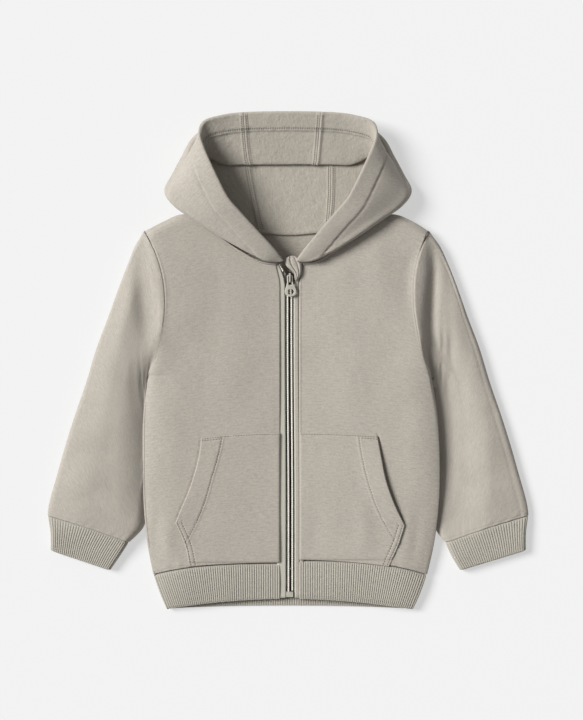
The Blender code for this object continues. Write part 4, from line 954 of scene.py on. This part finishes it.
hood = {
    # rim x, y, z | fold x, y, z, radius | floor z | neck x, y, z | pleat
    "stations": [
        (6, 103, 18.5, 12.5, 103.5, 18.0, 0.8, 16.5, 14, 102.5, 15.2, 0.0),
        (16, 116, 26.0, 26.5, 105.5, 21.0, 1.6, 17.5, 27, 104.0, 15.8, 0.0),
        (32, 134, 32.0, 47.5, 115.0, 23.0, 2.4, 19.0, 48, 115.5, 17.0, 0.0),
        (49, 153, 37.0, 71.0, 128.5, 24.0, 3.0, 20.0, 68, 128.5, 17.6, 0.0),
        (61, 167, 40.0, 96.0, 145.0, 24.0, 3.4, 19.0, 83, 141.5, 16.0, 0.0),
        (71, 186, 41.0, 117.0, 160.0, 19.0, 4.0, 14.5, 91, 150.0, 10.6, 0.0),
        (79, 203, 40.0, 126.5, 175.0, 14.5, 4.4, 6.0, 84, 147.0, 9.2, 0.0),
        (86, 219, 36.0, 119.0, 192.0, 10.0, 4.4, 2.2, 72, 142.5, 8.0, 0.0),
        (90, 233, 31.0, 109.0, 211.0, 8.0, 4.0, 1.2, 60, 139.0, 6.4, 0.12),
        (87, 246, 25.0, 98.0, 230.0, 6.5, 3.2, 1.1, 49, 136.0, 5.0, 0.75),
        (70, 252.5, 20.0, 76.0, 246.0, 5.2, 2.6, 1.1, 39, 133.6, 3.9, 1.0),
        (46, 256, 17.5, 52.0, 249.5, 5.0, 2.4, 1.1, 28, 131.8, 3.8, 1.0),
        (0, 257, 17.0, 0.0, 250.5, 5.0, 2.4, 1.1, 0, 129.8, 3.8, 1.0),
    ],
    "pleatY": 204.0,
    "pleatZ": 5.4,
    "pleatRadius": 1.2,
    "knots": [0, 1.2, 2.2, 2.8, 3.4, 5.0, 5.6, 6.2, 7.6, 9.0],
    # knot, station: where the side panels meet the centre panel
    "rightSeam": [(0, 11.0), (2, 11.05), (3.4, 11.2), (6.2, 11.1), (7.6, 11.0), (9.0, 11.0)],
    "leftSeam": [(0, 12.7), (2, 12.65), (3.4, 12.6), (6.2, 12.75), (7.6, 13.25), (9.0, 14.2)],
    "points": 141,           # from rim to neck
    "hem": 19.5,             # width of the doubled hem round the opening
    "hemWall": 1.5,          # its extra thickness
    "hemRow": 2.1,           # from its edge to its inside stitches
    "seamRow": 2.5,          # from a seam to the stitches on each side of it
    "tapeHalf": 3.4,         # half width of the flat seams inside
    "tapeRise": 0.8,
    # path, width, depth: on the outer face, from rim to fold
    "folds": [
        ([(-70, 150), (-88, 168), (-104, 186)], 9, 0.8), ([(-46, 126), (-66, 138), (-90, 152)], 7, -0.7),
        ([(-92, 214), (-104, 202), (-112, 184)], 6, -0.5), ([(60, 140), (80, 158), (100, 178)], 9, 0.8),
        ([(38, 122), (60, 130), (84, 148)], 7, -0.8), ([(94, 212), (106, 198), (112, 182)], 6, -0.5),
    ],
}


# Control points of the hood's lines, rim to neck, at each station of the half hood.
def hoodLines():
    lines = []
    for row in hood["stations"]:
        rim, fold = np.array(row[0:3], float), np.array(row[3:6], float)
        radius, floorZ = row[6], row[7]
        neck, pleat = np.array(row[8:11], float), row[11]
        inward = (neck - fold) * (1, 1, 0)
        inward = inward / max(np.linalg.norm(inward), 6.0)
        foldTop = fold + inward * radius * 0.8 + up * radius
        foldLow = fold + inward * radius * 0.8 - up * radius
        foldLow[2] = max(foldLow[2], body["cloth"] / 2)
        floor = fold * 0.45 + neck * 0.55
        floor[2] = floorZ
        straight = [rim + (foldTop - rim) * share + up * 2.2 * radius / 4 * np.sin(np.pi * share)
                    for share in (0.22, 0.45, 0.62, 0.8)]
        edge = np.array((rim[0] * 0.94, hood["pleatY"], hood["pleatZ"]))
        backIn = np.array((0.0, hood["pleatRadius"], 0.0))
        pleated = [rim + (edge - rim) * 0.55, edge + backIn + up * hood["pleatRadius"], edge,
                   edge + backIn - up * hood["pleatRadius"]]
        crown = [a * (1 - pleat) + b * pleat for a, b in zip(straight, pleated)]
        lines.append([rim, *crown, foldTop, fold, foldLow, floor, neck])
    return np.array(lines)


# Middle surface of the hood: smooth along each line from rim to neck, then from line to line. `stations`
# has a row of station numbers for every line wanted, one for each knot.
def hoodGrid(stations, knots):
    half = np.array([spline(hood["knots"], line, knots) for line in hoodLines()])
    whole = np.vstack([half * (-1, 1, 1), half[-2::-1]])
    whole[..., 0] += body["zipX"] * ease((150 - whole[..., 1]) / 45)
    places = np.arange(len(whole))
    fine = np.stack([spline(places, whole[:, k], stations[:, k]) for k in range(len(knots))], axis=1)
    fine[..., 2] = np.maximum(fine[..., 2], body["cloth"] / 2)
    return fine


# One panel between two seams (None is the open end at the zip). Inside: a doubled hem round the opening and
# flat sewn seams; outside: the hem's stitch groove and the seams' narrow valleys.
def hoodPanel(name, count, startSeam, endSeam):
    knots = crowded(hood["points"], 0.5) * hood["knots"][-1]
    start = column(hood[startSeam], 1, knots) if startSeam else np.zeros_like(knots)
    end = column(hood[endSeam], 1, knots) if endSeam else np.full_like(knots, 2.0 * (len(hood["stations"]) - 1))
    middle = hoodGrid(start + (end - start) * crowded(count, 0.6)[:, None], knots)
    normals = gridNormals(middle)
    run, across = runAlong(middle, 1), runAlong(middle, 0)
    toNeck = run[:, -1:] - run
    seamGap = np.full_like(run, 99.0)
    if startSeam:
        seamGap = np.minimum(seamGap, across)
    if endSeam:
        seamGap = np.minimum(seamGap, across[-1:] - across)
    x, y = middle[..., 0], middle[..., 1]
    rim = 0.15 + 0.85 * roundOff(run, 2.6)                       # the wall narrows round to its rim
    hemmed = 1 - ease((run - hood["hem"]) / 1.4)
    taped = 1 - ease((seamGap - hood["tapeHalf"]) / 0.8)
    # inside: hem and flat seams, a ridge by the neck, the seam itself, both rows of stitches, slow unevenness
    inside = body["cloth"] / 2 + hood["hemWall"] * hemmed + hood["tapeRise"] * taped
    inside += 0.7 * groove(toNeck - 2.6, 1.6) - 0.4 * groove(seamGap, 0.5) * taped
    inside -= 0.45 * groove(seamGap - hood["seamRow"], 0.7) + 0.6 * groove(run - hood["hem"] + 2.0, 1.1)
    inside += 0.35 * unevenness(x, y, 2.4) * ease(run / 12)
    inside += pucker(across, np.abs(run - hood["hem"]), 3.0, 0.10) + pucker(run, seamGap, 3.0, 0.08)
    # outside: the hem and its stitch groove, the sewn edges, then the folds on the outer face
    outside = body["cloth"] / 2 + 0.7 * hemmed - 1.1 * groove(run - hood["hem"], 1.1)
    outside += 0.5 * sewn(seamGap, 1.6, 2.2) + 0.5 * sewn(toNeck, 1.4, 2.4)
    outer = (knots < 5.4)[None, :] * ease(run / 10)
    outside += (creases(middle, hood["folds"]) + 0.4 * unevenness(x, y, 5.1)) * outer
    outside += pucker(across, np.abs(run - hood["hem"]), 4.5, 0.16, 1.0) + pucker(across, toNeck, 5.0, 0.12, 2.0)
    inside = middle + normals * (inside * rim)[..., None]
    outside = middle - normals * (outside * rim)[..., None]
    outside[..., 2] = np.maximum(outside[..., 2], 0.0)
    piece = clothWall(name, inside, outside, (brushed, jersey), thin=1)
    return piece, {"inside": inside, "outside": outside, "normals": normals, "run": run, "across": across}


hoodRight, rightLines = hoodPanel("hood_right_side_cloth", 131, None, "rightSeam")
hoodCentre, centreLines = hoodPanel("hood_centre_cloth", 61, "rightSeam", "leftSeam")
hoodLeft, leftLines = hoodPanel("hood_left_side_cloth", 131, "leftSeam", None)
print("hood done")

pockets = {
    "grid": (121, 121),      # points from the zip to the side and from hem to top
    "wall": 1.7,
    "gap": 0.2,              # over the front's face
    "band": 0.7,             # extra height of the turned-back strip beside the opening
    # y, x of the lower side edge; y, x of the strip's inner stitch line
    "lower": {-1: [(-212, 102), (-190, 106.5), (-167, 116)], 1: [(-212, 104), (-190, 114.0), (-170, 120.5)]},
    "line": {-1: [(-212, 117), (-189, 106), (-163, 93), (-143, 85), (-122, 79), (-98, 72), (-70, 66)],
             1: [(-212, 128), (-190, 113), (-163, 97), (-130, 84), (-102, 77), (-70, 72)]},
    "top": {-1: (-74.5, -79.5), 1: (-74.5, -77.5)},   # y at the zip and at the opening
    "gape": {-1: 0.5, 1: 2.8},       # by side: rise of the opening from the front
    "topRows": (1.2, 3.2),   # stitch rows from the top, the second one only on the strip
    "lowRows": (2.2, 6.6),   # and from the lower side edge
}


# Height of the front's outer face over any plan point, with its upward normal.
def onFront(side, x, y):
    out = side * x
    place = lambda a, b: frontHeight(side * a, b, sideWidth(b, side) - a, np.full_like(a, 40.0), 11.5, 0.0)
    z = place(out, y)
    slopeX, slopeY = (place(out + 0.5, y) - place(out - 0.5, y)) * side, place(out, y + 0.5) - place(out, y - 0.5)
    return z, unit(np.stack([-slopeX, -slopeY, np.ones_like(z)], axis=-1))


# One half of the split pocket, made from the front's own face, moved out: from the zip to its side edge and
# from the hem to its top.
def pocket(side, name):
    lower, opening = np.array(pockets["lower"][side], float), np.array(pocketOpening[side], float)
    share, rise = crowded(pockets["grid"][0], 0.6), crowded(pockets["grid"][1], 0.4)
    zipY, sideY = pockets["top"][side]
    lowY = body["hemSeamY"] + (3.5 if side > 0 else 0.8)
    edgeY = lower[0, 0] + (sideY - lower[0, 0]) * rise
    corner = lower[-1, 0]
    edgeX = np.where(edgeY < corner, column(lower, 1, np.minimum(edgeY, corner)),
                     column(opening, 1, np.maximum(edgeY, corner)))
    zipX = zipEdge(side) + 0.4
    y = (lowY + (zipY - lowY) * rise)[:, None]
    y = y + (edgeY[:, None] - y) * share ** 2
    x = zipX + (edgeX[:, None] - zipX) * share
    z, normals = onFront(side, side * x, y)
    face = np.dstack([side * x, y, z])
    face += normals * frontUnder(side, face)[..., None]
    sideGap, topGap = (edgeX[:, None] - x), (zipY + (sideY - zipY) * share ** 2)[None, :] - y
    opened = np.clip((edgeY - corner) / (sideY - corner), 0, 1)[:, None]
    lowEdge = ease((corner + 4 - edgeY) / 4)[:, None]
    gape = pockets["gape"][side] * np.sin(np.pi * opened ** 0.8) * ease(1 - sideGap / 34)
    fromLine = (x - column(pockets["line"][side], 1, y)) * 0.9
    band = pockets["band"] * ease(0.5 + fromLine / 1.6) * (1 - 0.4 * lowEdge)
    # the turned strip and its stitch line, the sewn edges, the rows of stitches at the top and the lower side
    wall = pockets["wall"] + band - 0.6 * groove(fromLine, 0.5) + 0.5 * groove(fromLine + 1.2, 0.8)
    wall += sewn(topGap, 1.3, 1.3) + sewn(x - zipX, 1.1, 2.6) + sewn(y - lowY, 1.2, 3.0)
    wall += sewn(sideGap, 1.2, 1.3) * (0.9 + 0.1 * lowEdge)
    first, second = (groove(topGap - row, 0.6) for row in pockets["topRows"])
    wall -= 0.6 * (first + second * ease(0.5 + fromLine / 1.6))
    wall -= 0.40 * sum(groove(sideGap - row, 0.7) for row in pockets["lowRows"]) * lowEdge
    # the ripples along each of them
    wall += pucker(x, topGap, 4.0, 0.12, side) + pucker(y, np.abs(fromLine), 3.0, 0.10, side)
    wall += pucker(y, sideGap, 4.0, 0.10, 1.0) * lowEdge + 0.2 * unevenness(face[..., 0], y, 8.0 + side)
    inner = face + normals * (pockets["gap"] + gape)[..., None]
    outer = inner + normals * np.maximum(wall, 0.5)[..., None]
    lines = {"outer": outer, "normals": normals, "x": x, "y": y, "topGap": topGap, "sideGap": sideGap,
             "fromLine": fromLine, "corner": corner, "edgeY": edgeY}
    return clothWall(name, outer, inner, (jersey, brushed), side), lines


# The front's own folds under a pocket, so that both lie on each other.
def frontUnder(side, face):
    return creases(face, body["rightFolds" if side < 0 else "leftFolds"]) + 0.3 * unevenness(
        face[..., 0], face[..., 1], 1.0 + side)


pocketRight, pocketRightLines = pocket(-1, "pocket_right_cloth")
pocketLeft, pocketLeftLines = pocket(1, "pocket_left_cloth")
print("pockets done")

zipper = {
    "tapeOuter": 13.8,       # half width of both tapes together
    "drop": [(-250, 0.7), (-86, 0.7), (-70, 1.15), (101, 1.15)],     # y, from the panel's face down to a tape
    "lean": [(-245, 0.9), (-140, 0.9), (10, 0.0), (101, 0.0)],      # y, shift to the wearer's left
    "channel": {-1: (4.1, 0.62, 3.3), 1: (3.8, 0.5, 3.5)},     # by side, groove beside the teeth: place, width, depth
    # the left tape's outer strip is plain cloth: from here on, and its groove's place, width, depth
    "facing": (5.6, 9.5, 0.5, 1.1),
    "shaded": 0.35,          # the painted shade under the teeth ends this far beyond the groove beside them
    # y, x: inner edge of a tape, closed from the hem and open over the slider
    "inner": [(-245, 0.5), (-200, 0.5), (-120, 0.5), (-30, 0.5), (40, 0.5), (79, 0.5), (84, 1.6), (90, 4.0),
              (95, 6.6), (100, 9.6)],
    "teeth": (-237.6, 78.6, 92.0, 99.5),     # y: from, to, and again over the slider: from, to
    # shares of a tape's width at which it has points, closest in both grooves
    "across": [0.0, 0.1, 0.15, 0.18, 0.21, 0.24, 0.27, 0.30, 0.33, 0.36, 0.39, 0.43, 0.5, 0.58, 0.62, 0.65, 0.68,
               0.72, 0.8, 1.0],
    "thick": 0.8,
    "parted": 80.0,          # y from which the tapes part to pass the slider
    "pitch": 1.9,            # of each row
    "tooth": (1.8, 1.7, 1.7),      # along the zip, across it, up
    "toothX": {-1: 2.1, 1: 1.9},
}


# Height of the tapes along the zip: the fronts' height there less the drop.
def tapeHeight(y):
    return column(body["frontHeight"], 1, y) - column(zipper["drop"], 1, y)


# Middle line of the zip: its place plus its lean.
def zipLean(y):
    return body["zipX"] + column(zipper["lean"], 1, y)


# A tape from its inner edge to under the panel, with a stitched groove beside the teeth.
def zipTape(side, name):
    y = np.linspace(-245, 100, 173)
    inner = np.maximum(column(zipper["inner"], 1, y), zipper["inner"][0][1])
    outerX = zipper["tapeOuter"] + 0.7 * flared(y)
    x = inner[:, None] + (outerX - inner)[:, None] * np.array(zipper["across"])
    place, width, depth = zipper["channel"][side]
    shift = (inner - 0.5)[:, None] * 0.8
    low = np.where(x - shift < place, 1.0, groove(x - shift - place, width))
    z = tapeHeight(y)[:, None] - depth * low
    start, place, width, depth = zipper["facing"]
    if side > 0:
        z = z - depth * groove(x - place - flared(y)[:, None], width)
    upper = np.dstack([zipLean(y)[:, None] + side * x, np.broadcast_to(y[:, None], x.shape), z])
    piece = clothWall(name, upper, upper - up * zipper["thick"], (tapeCloth, jersey, paintedShadeTape), side, thin=1)
    middle = np.empty(len(piece.data.polygons) * 3)
    piece.data.polygons.foreach_get("center", middle)
    fromZip, below = np.abs(middle[::3] / mm - zipLean(middle[1::3] / mm)), middle[1::3] < zipper["parted"] * mm
    outside = (fromZip > start) & below & (side > 0)
    # faces in the channel under and beside the teeth get the near-black tape: painted shade
    sunk = (fromZip < zipper["channel"][side][0] + zipper["shaded"]) & below
    piece.data.polygons.foreach_set("material_index", np.where(sunk, 2, outside).astype(np.int32))
    return piece


# A tooth 1 long, 1 wide, 1 high: a block with all its edges cut.
def toothShape():
    low, high = 0.30, 0.5
    corners = [(a, b, c) for a in (-1, 1) for b in (-1, 1) for c in (-1, 1)]
    points = np.array([np.array(corner) * reach for reach in ((high, low, low), (low, high, low), (low, low, high))
                       for corner in corners])
    axes = ((0, 1, 2), (1, 0, 2), (2, 0, 1))

    # number of the point at a corner on the face across one axis; signs are given for three axes in turn
    def number(kind, turned, signs):
        return kind * 8 + corners.index(tuple(sign for _, sign in sorted(zip(turned, signs))))

    quads = [[number(axis[0], axis, (side, a, b)) for a, b in ((-1, -1), (1, -1), (1, 1), (-1, 1))]
             for axis in axes for side in (-1, 1)]
    quads += [[number(axis[kind], axis, (side, a, b)) for kind, side in ((1, -1), (1, 1), (2, 1), (2, -1))]
              for axis in axes for a in (-1, 1) for b in (-1, 1)]
    triangles = [[number(kind, (0, 1, 2), corner) for kind in range(3)] for corner in corners]
    return points, tuple(facingOut(points, np.array(group)) for group in (quads, triangles))


# Faces of a shape round the origin, turned so that each faces away from it.
def facingOut(points, faces):
    corners = points[faces]
    normal = np.cross(corners[:, 1] - corners[:, 0], corners[:, 2] - corners[:, 0])
    inward = (normal * corners.mean(axis=1)).sum(axis=1) < 0
    return np.where(inward[:, None], faces[:, ::-1], faces)


# One row of teeth, half a pitch from the other row's, and spread along its tape over the slider.
def teethRow(side, name):
    low, high, again, end = zipper["teeth"]
    y = np.arange(low + (zipper["pitch"] / 2 if side > 0 else 0.0), end, zipper["pitch"])
    y = y[(y < high) | (y > again)]
    z = tapeHeight(y) - zipper["channel"][side][2] + zipper["tooth"][2] / 2 + 0.9
    spread = np.maximum(column(zipper["inner"], 1, y) - zipper["inner"][0][1], 0)
    centres = np.column_stack([zipLean(y) + side * (zipper["toothX"][side] + spread), y, z])
    template, faces = toothShape()
    slope = column(zipper["inner"], 1, y + 0.5) - column(zipper["inner"], 1, y - 0.5)
    run = np.column_stack([side * slope, np.ones_like(y), np.zeros_like(y)])
    return copies(name, template, faces, centres, run, np.tile(up, (len(y), 1)), zipper["tooth"], toothMetal)


tapeRight = zipTape(-1, "zip_tape_right_woven")
tapeLeft = zipTape(1, "zip_tape_left_woven")
teethRight = teethRow(-1, "zip_teeth_right")
teethLeft = teethRow(1, "zip_teeth_left")


# A plate with rounded edges: a filled outline with holes, given in plan from `centre`, between two heights.
def plate(name, outline, holes, centre, low, high, bevel, finish):
    curve = bpy.data.curves.new(name, "CURVE")
    curve.dimensions, curve.fill_mode = "2D", "BOTH"
    curve.extrude, curve.bevel_depth, curve.bevel_resolution = ((high - low) / 2 - bevel) * mm, bevel * mm, 3
    curve.offset = -bevel * mm
    for points in (outline, *holes):
        line = curve.splines.new("POLY")
        line.points.add(len(points) - 1)
        line.points.foreach_set("co", np.column_stack([np.array(points) * mm, np.zeros(len(points)),
                                                       np.ones(len(points))]).ravel())
        line.use_cyclic_u = True
    holder = placed(name + "_outline", curve)
    bpy.context.view_layer.update()
    mesh = bpy.data.meshes.new_from_object(holder.evaluated_get(bpy.context.evaluated_depsgraph_get()))
    bpy.data.objects.remove(holder)
    points = np.empty(len(mesh.vertices) * 3)
    mesh.vertices.foreach_get("co", points)
    points = points.reshape(-1, 3) + np.array((centre[0], centre[1], (low + high) / 2)) * mm
    mesh.vertices.foreach_set("co", points.ravel())
    mesh.materials.clear()
    mesh.materials.append(finish)
    mesh.name = name
    return placed(name, mesh)


# A smooth closed outline through points given for its right half, from the top to the tip.
def mirrored(half, count=48):
    right = along(half, np.linspace(0, 1, count))
    return np.vstack([right, (right * (-1, 1))[-2:0:-1]])


tab = {
    "pivot": (1.7, 87.7),
    "heights": (13.95, 15.25),
    "half": [(0.0, 0.9), (2.1, 0.7), (2.9, -0.6), (3.0, -4.0), (3.2, -7.6), (4.4, -11.2), (5.7, -14.8), (5.8, -17.6),
             (4.4, -20.3), (2.0, -21.5), (0.0, -21.7)],
    "slot": [(1.75, -0.7), (1.75, -9.5), (-1.75, -9.5), (-1.75, -0.7)],
    "hole": (0.0, -16.7, 3.3, 2.8),
    "bar": 1.0,              # along it, through the oval hole
    "bevel": 0.45,
    "askew": 0.06,           # turn of the tab round the bridge, in radians
}


# A line in plan, turned by the tab's small angle round its bridge.
def askew(line):
    cos, sin = np.cos(tab["askew"]), np.sin(tab["askew"])
    return np.array(line) @ np.array([(cos, sin), (-sin, cos)])


# one half of the oval hole, beside the bar across it
x, y, halfX, halfY = tab["hole"]
turn = np.linspace(-0.42 * np.pi, 0.42 * np.pi, 20)
halfHole = np.column_stack([x + halfX * np.cos(turn), y + halfY * np.sin(turn)])
halfHole = halfHole[halfHole[:, 0] > tab["bar"] / 2]
puller = plate("zip_puller_tab", askew(mirrored(tab["half"])),
               [askew(line) for line in (tab["slot"], halfHole, halfHole * (-1, 1))],
               tab["pivot"], *tab["heights"], tab["bevel"], tabMetal)
print("zip done")

guard = {
    # x, y of both edges, from the top of the leaf to its tip
    "leftEdge": [(3.0, 108.3), (-1.2, 106.2), (-3.0, 101.8), (-1.6, 97.6), (3.0, 93.4), (6.3, 89.5), (6.6, 85.4),
                 (8.0, 82.0)],
    "rightEdge": [(3.0, 108.3), (9.6, 107.4), (13.8, 101.5), (14.6, 94.5), (12.8, 87.0), (8.2, 81.4)],
    "grid": (61, 49),        # points from top to tip and across
    "low": 13.5,
    "height": 3.8,
    "least": 0.25,
    "grooves": [(0.36, 0.055, 1.3), (0.72, 0.05, 1.0)],   # share across, width, depth
    "thinner": (0.4, 94.0, 5.0, 7.5, 2.0),     # where the turned-up tab lies: by a share, below y over, inside x over
}


# The self-fabric guard over the open top of the zip: a padded leaf with two sewn grooves along it.
def guardLeaf(name):
    rise, across = crowded(guard["grid"][0], 0.5), crowded(guard["grid"][1], 0.4)
    leftEdge, rightEdge = along(guard["leftEdge"], rise), along(guard["rightEdge"], rise)
    plan = leftEdge[:, None] + (rightEdge - leftEdge)[:, None] * across[None, :, None]
    width = np.linalg.norm(rightEdge - leftEdge, axis=1)[:, None]
    gap = np.minimum(across, 1 - across)[None, :] * width
    high = guard["height"] * roundOff(gap, 3.2) * (0.55 + 0.45 * ease(width / 9))
    for place, thick, depth in guard["grooves"]:
        high = high - depth * groove(across - place, thick)[None, :] * ease(width / 7)
    share, belowY, overY, insideX, overX = guard["thinner"]
    high = high * (1 - share * ease((belowY - plan[..., 1]) / overY) * ease((insideX - plan[..., 0]) / overX))
    high = np.maximum(high, 0.0) + guard["least"]
    upper = np.dstack([plan, guard["low"] + high])
    lower = np.dstack([plan, np.full(high.shape, guard["low"])])
    return clothWall(name, upper, lower, (jersey, jersey), -1, thin=1, uv=clothUv(upper))


guardCloth = guardLeaf("zip_guard_leaf")
for node, finish in (("zip_slider", sliderPaintedShadeMetal), ("zip_box", tabMetal)):
    for held in bpy.data.objects[node].material_slots:
        held.material = finish
print("guard done")


# Place in each row, as a fractional number, where its rising (sign 1) or falling (-1) values reach a level.
def reached(rows, level, sign=1):
    levels = np.broadcast_to(level, len(rows))
    return np.array([np.interp(sign * at, sign * row, np.arange(len(row))) for at, row in zip(levels, rows)])


# Path for stitches on a hood panel, at one distance run from the rim on every row of its grid.
def rimPath(lines, face, distance, rows=slice(None)):
    place, row = reached(lines["run"][rows], distance), np.arange(len(lines["run"]))[rows].astype(float)
    sign = 1.0 if face == "inside" else -1.0
    return onGrid(lines[face], row, place), sign * onGrid(lines["normals"], row, place)


# The same at one distance from a seam, the panel's first or last row, on some of its columns.
def seamPath(lines, distance, fromEnd, columns):
    across = lines["across"][:, columns]
    row = reached(across.T, across[-1] - distance if fromEnd else distance)
    place = np.arange(lines["across"].shape[1])[columns].astype(float)
    return onGrid(lines["inside"], row, place), onGrid(lines["normals"], row, place)


seams = {
    # pitch, width, gap between stitches, depth in the cloth, turn from the row in radians
    "hoodHem": (3.1, 0.75, 0.55, 0.1, 0.0),
    "insideHem": (2.3, 0.9, -1.1, 0.0, 1.35),
    "inside": (2.4, 1.1, -0.2, 0.0, 1.0),
    "pocket": (2.7, 0.85, 0.5, 0.05, 0.0),
    # rows of the right and left panel, and columns, over which the hood's stitches run
    "hemRows": (slice(3, 104), slice(27, 128)),
    "columns": slice(4, 138),
}
hemPaths = [rimPath(lines, "outside", hood["hem"], rows)
            for lines, rows in zip((rightLines, leftLines), seams["hemRows"])]
hoodThread = stitches("hood_hem_stitches", hemPaths, thread, *seams["hoodHem"])
hemPaths = [rimPath(lines, "inside", hood["hem"] - hood["hemRow"]) for lines in (rightLines, centreLines, leftLines)]
hemThread = stitches("hood_inside_hem_stitches", hemPaths, paintedShadeThread, *seams["insideHem"])
insidePaths = [seamPath(lines, hood["seamRow"], fromEnd, seams["columns"]) for lines, fromEnd in (
    (rightLines, True), (leftLines, False), (centreLines, False), (centreLines, True))]
insideThread = stitches("hood_inside_stitches", insidePaths, paintedShadeThread, *seams["inside"])


# Stitches on one pocket: two rows along its top and its lower side, one beside its opening's turned strip.
def pocketPaths(lines):
    rows, columns = lines["x"].shape
    everyColumn, everyRow = np.arange(2, columns - 1).astype(float), np.arange(1, rows - 3)
    paths = []
    onBand = lines["fromLine"][-4][2:columns - 1] > -1.5
    for distance, used in zip(pockets["topRows"], (slice(None), onBand)):
        row = reached(lines["topGap"].T, distance, -1)
        paths.append((everyColumn[used], row[2:columns - 1][used]))
    low = everyRow[lines["edgeY"][everyRow] < lines["corner"] + 1]
    for distance in pockets["lowRows"]:
        paths.append((reached(lines["sideGap"][low], distance, -1), low.astype(float)))
    beside = everyRow[lines["edgeY"][everyRow] > lines["corner"] - 16]
    paths.append((reached(lines["fromLine"][beside], 0.0), beside.astype(float)))
    return [(onGrid(lines["outer"], row, place), onGrid(lines["normals"], row, place)) for place, row in paths]


pocketThread = stitches("pocket_stitches", pocketPaths(pocketRightLines) + pocketPaths(pocketLeftLines),
                        paintedShadeThread, *seams["pocket"])
print("stitches done")

sheets = [
    # piece, node, slot, flat size and area in metres, what it lies on, the stitches in it
    (frontRight, "front_right", "fleece", (0.165, 0.345), 0.0465, ["back_panel_cloth"], []),
    (frontLeft, "front_left", "fleece", (0.165, 0.345), 0.0465, ["back_panel_cloth"], []),
    (back, "back_panel", "fleece", (0.32, 0.38), 0.103, [], []),
    (sleeveRight, "sleeve_right", "fleece", (0.25, 0.23), 0.041, [], []),
    (sleeveLeft, "sleeve_left", "fleece", (0.25, 0.23), 0.041, [], []),
    (cuffRight, "cuff_right", "rib", (0.17, 0.04), 0.005, [], []),
    (cuffLeft, "cuff_left", "rib", (0.17, 0.04), 0.005, [], []),
    (hemRib, "hem_rib", "rib", (0.56, 0.04), 0.0196, [], []),
    (hoodRight, "hood_right_side", "fleece", (0.2, 0.25), 0.019, [], [hoodThread, insideThread, hemThread]),
    (hoodCentre, "hood_centre", "fleece", (0.1, 0.25), 0.019, [], []),
    (hoodLeft, "hood_left_side", "fleece", (0.2, 0.25), 0.019, [], []),
    (pocketRight, "pocket_right", "fleece", (0.115, 0.14), 0.0128, ["front_right_cloth"], [pocketThread]),
    (pocketLeft, "pocket_left", "fleece", (0.115, 0.14), 0.0128, ["front_left_cloth"], []),
]
others = [
    # piece, node, slot, body
    (tapeRight, "zip_tape_right", "zip_tape", "garment"), (tapeLeft, "zip_tape_left", "zip_tape", "garment"),
    (teethRight, "zip_chain_right", "zip_metal", "garment"), (teethLeft, "zip_chain_left", "zip_metal", "garment"),
    (guardCloth, "zip_guard", "fleece", "garment"), (puller, "zip_puller", "zip_metal", "pull_tab"),
]
for piece, node, slot, flat, area, restsOn, sewnOn in sheets:
    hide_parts(node)
    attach(piece, "garment")
for piece in (hoodThread, insideThread, hemThread, pocketThread):
    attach(piece, "garment")
for piece, node, slot, rides in others:
    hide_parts(node)
    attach(piece, rides)

stage = {
    "floorHalf": 4.0,        # metres
    "floorTone": (0.34, 0.34, 0.34, 1.0),
    "floorGlow": 0.51,       # the table is lit from below too, which softens the shadows on it
    "keyAngle": 0.46,        # of the sun's disc, in radians: wide, for soft shadows
    "keyElevation": 39,
    "keyAzimuth": 160,       # degrees round from +x, so the light comes from the upper left
    "keyStrength": 4.17,
    "skyStrength": 0.25,
    "cameraHeight": 2.5,     # metres
    "lens": 120.6,
    "sensor": 36.0,
    "aim": (3.6, 0.8),       # point under the camera, in millimetres
}
white = (1.0, 1.0, 1.0, 1.0)
floorMesh = bpy.data.meshes.new("table_top")
corners = [(x * stage["floorHalf"], y * stage["floorHalf"], 0) for x, y in ((-1, -1), (1, -1), (1, 1), (-1, 1))]
floorMesh.from_pydata(corners, [], [(0, 1, 2, 3)])
floorFinish = newFinish("pale_table", Roughness=0.9, Base_Color=stage["floorTone"], Emission_Color=white,
                        Emission_Strength=stage["floorGlow"])[0]
floorMesh.materials.append(floorFinish)
placed("table_top", floorMesh)

sky = bpy.data.worlds.new("studio")
sky.use_nodes = True
for socket, value in (("Color", white), ("Strength", stage["skyStrength"])):
    sky.node_tree.nodes["Background"].inputs[socket].default_value = value
scene.world = sky
keyData = bpy.data.lights.new("soft_key", "SUN")
keyData.energy = stage["keyStrength"]
keyData.angle = stage["keyAngle"]
key = placed("soft_key", keyData)
elevation, azimuth = np.radians(stage["keyElevation"]), np.radians(stage["keyAzimuth"])
key.rotation_euler = (np.pi / 2 - elevation, 0.0, azimuth + np.pi / 2)

cameraData = bpy.data.cameras.new("above")
cameraData.lens = stage["lens"]
cameraData.sensor_width = stage["sensor"]
camera = placed("above", cameraData)
camera.location = (stage["aim"][0] * mm, stage["aim"][1] * mm, stage["cameraHeight"])
scene.camera = camera
scene.view_settings.view_transform = "Standard"
print("stage done")
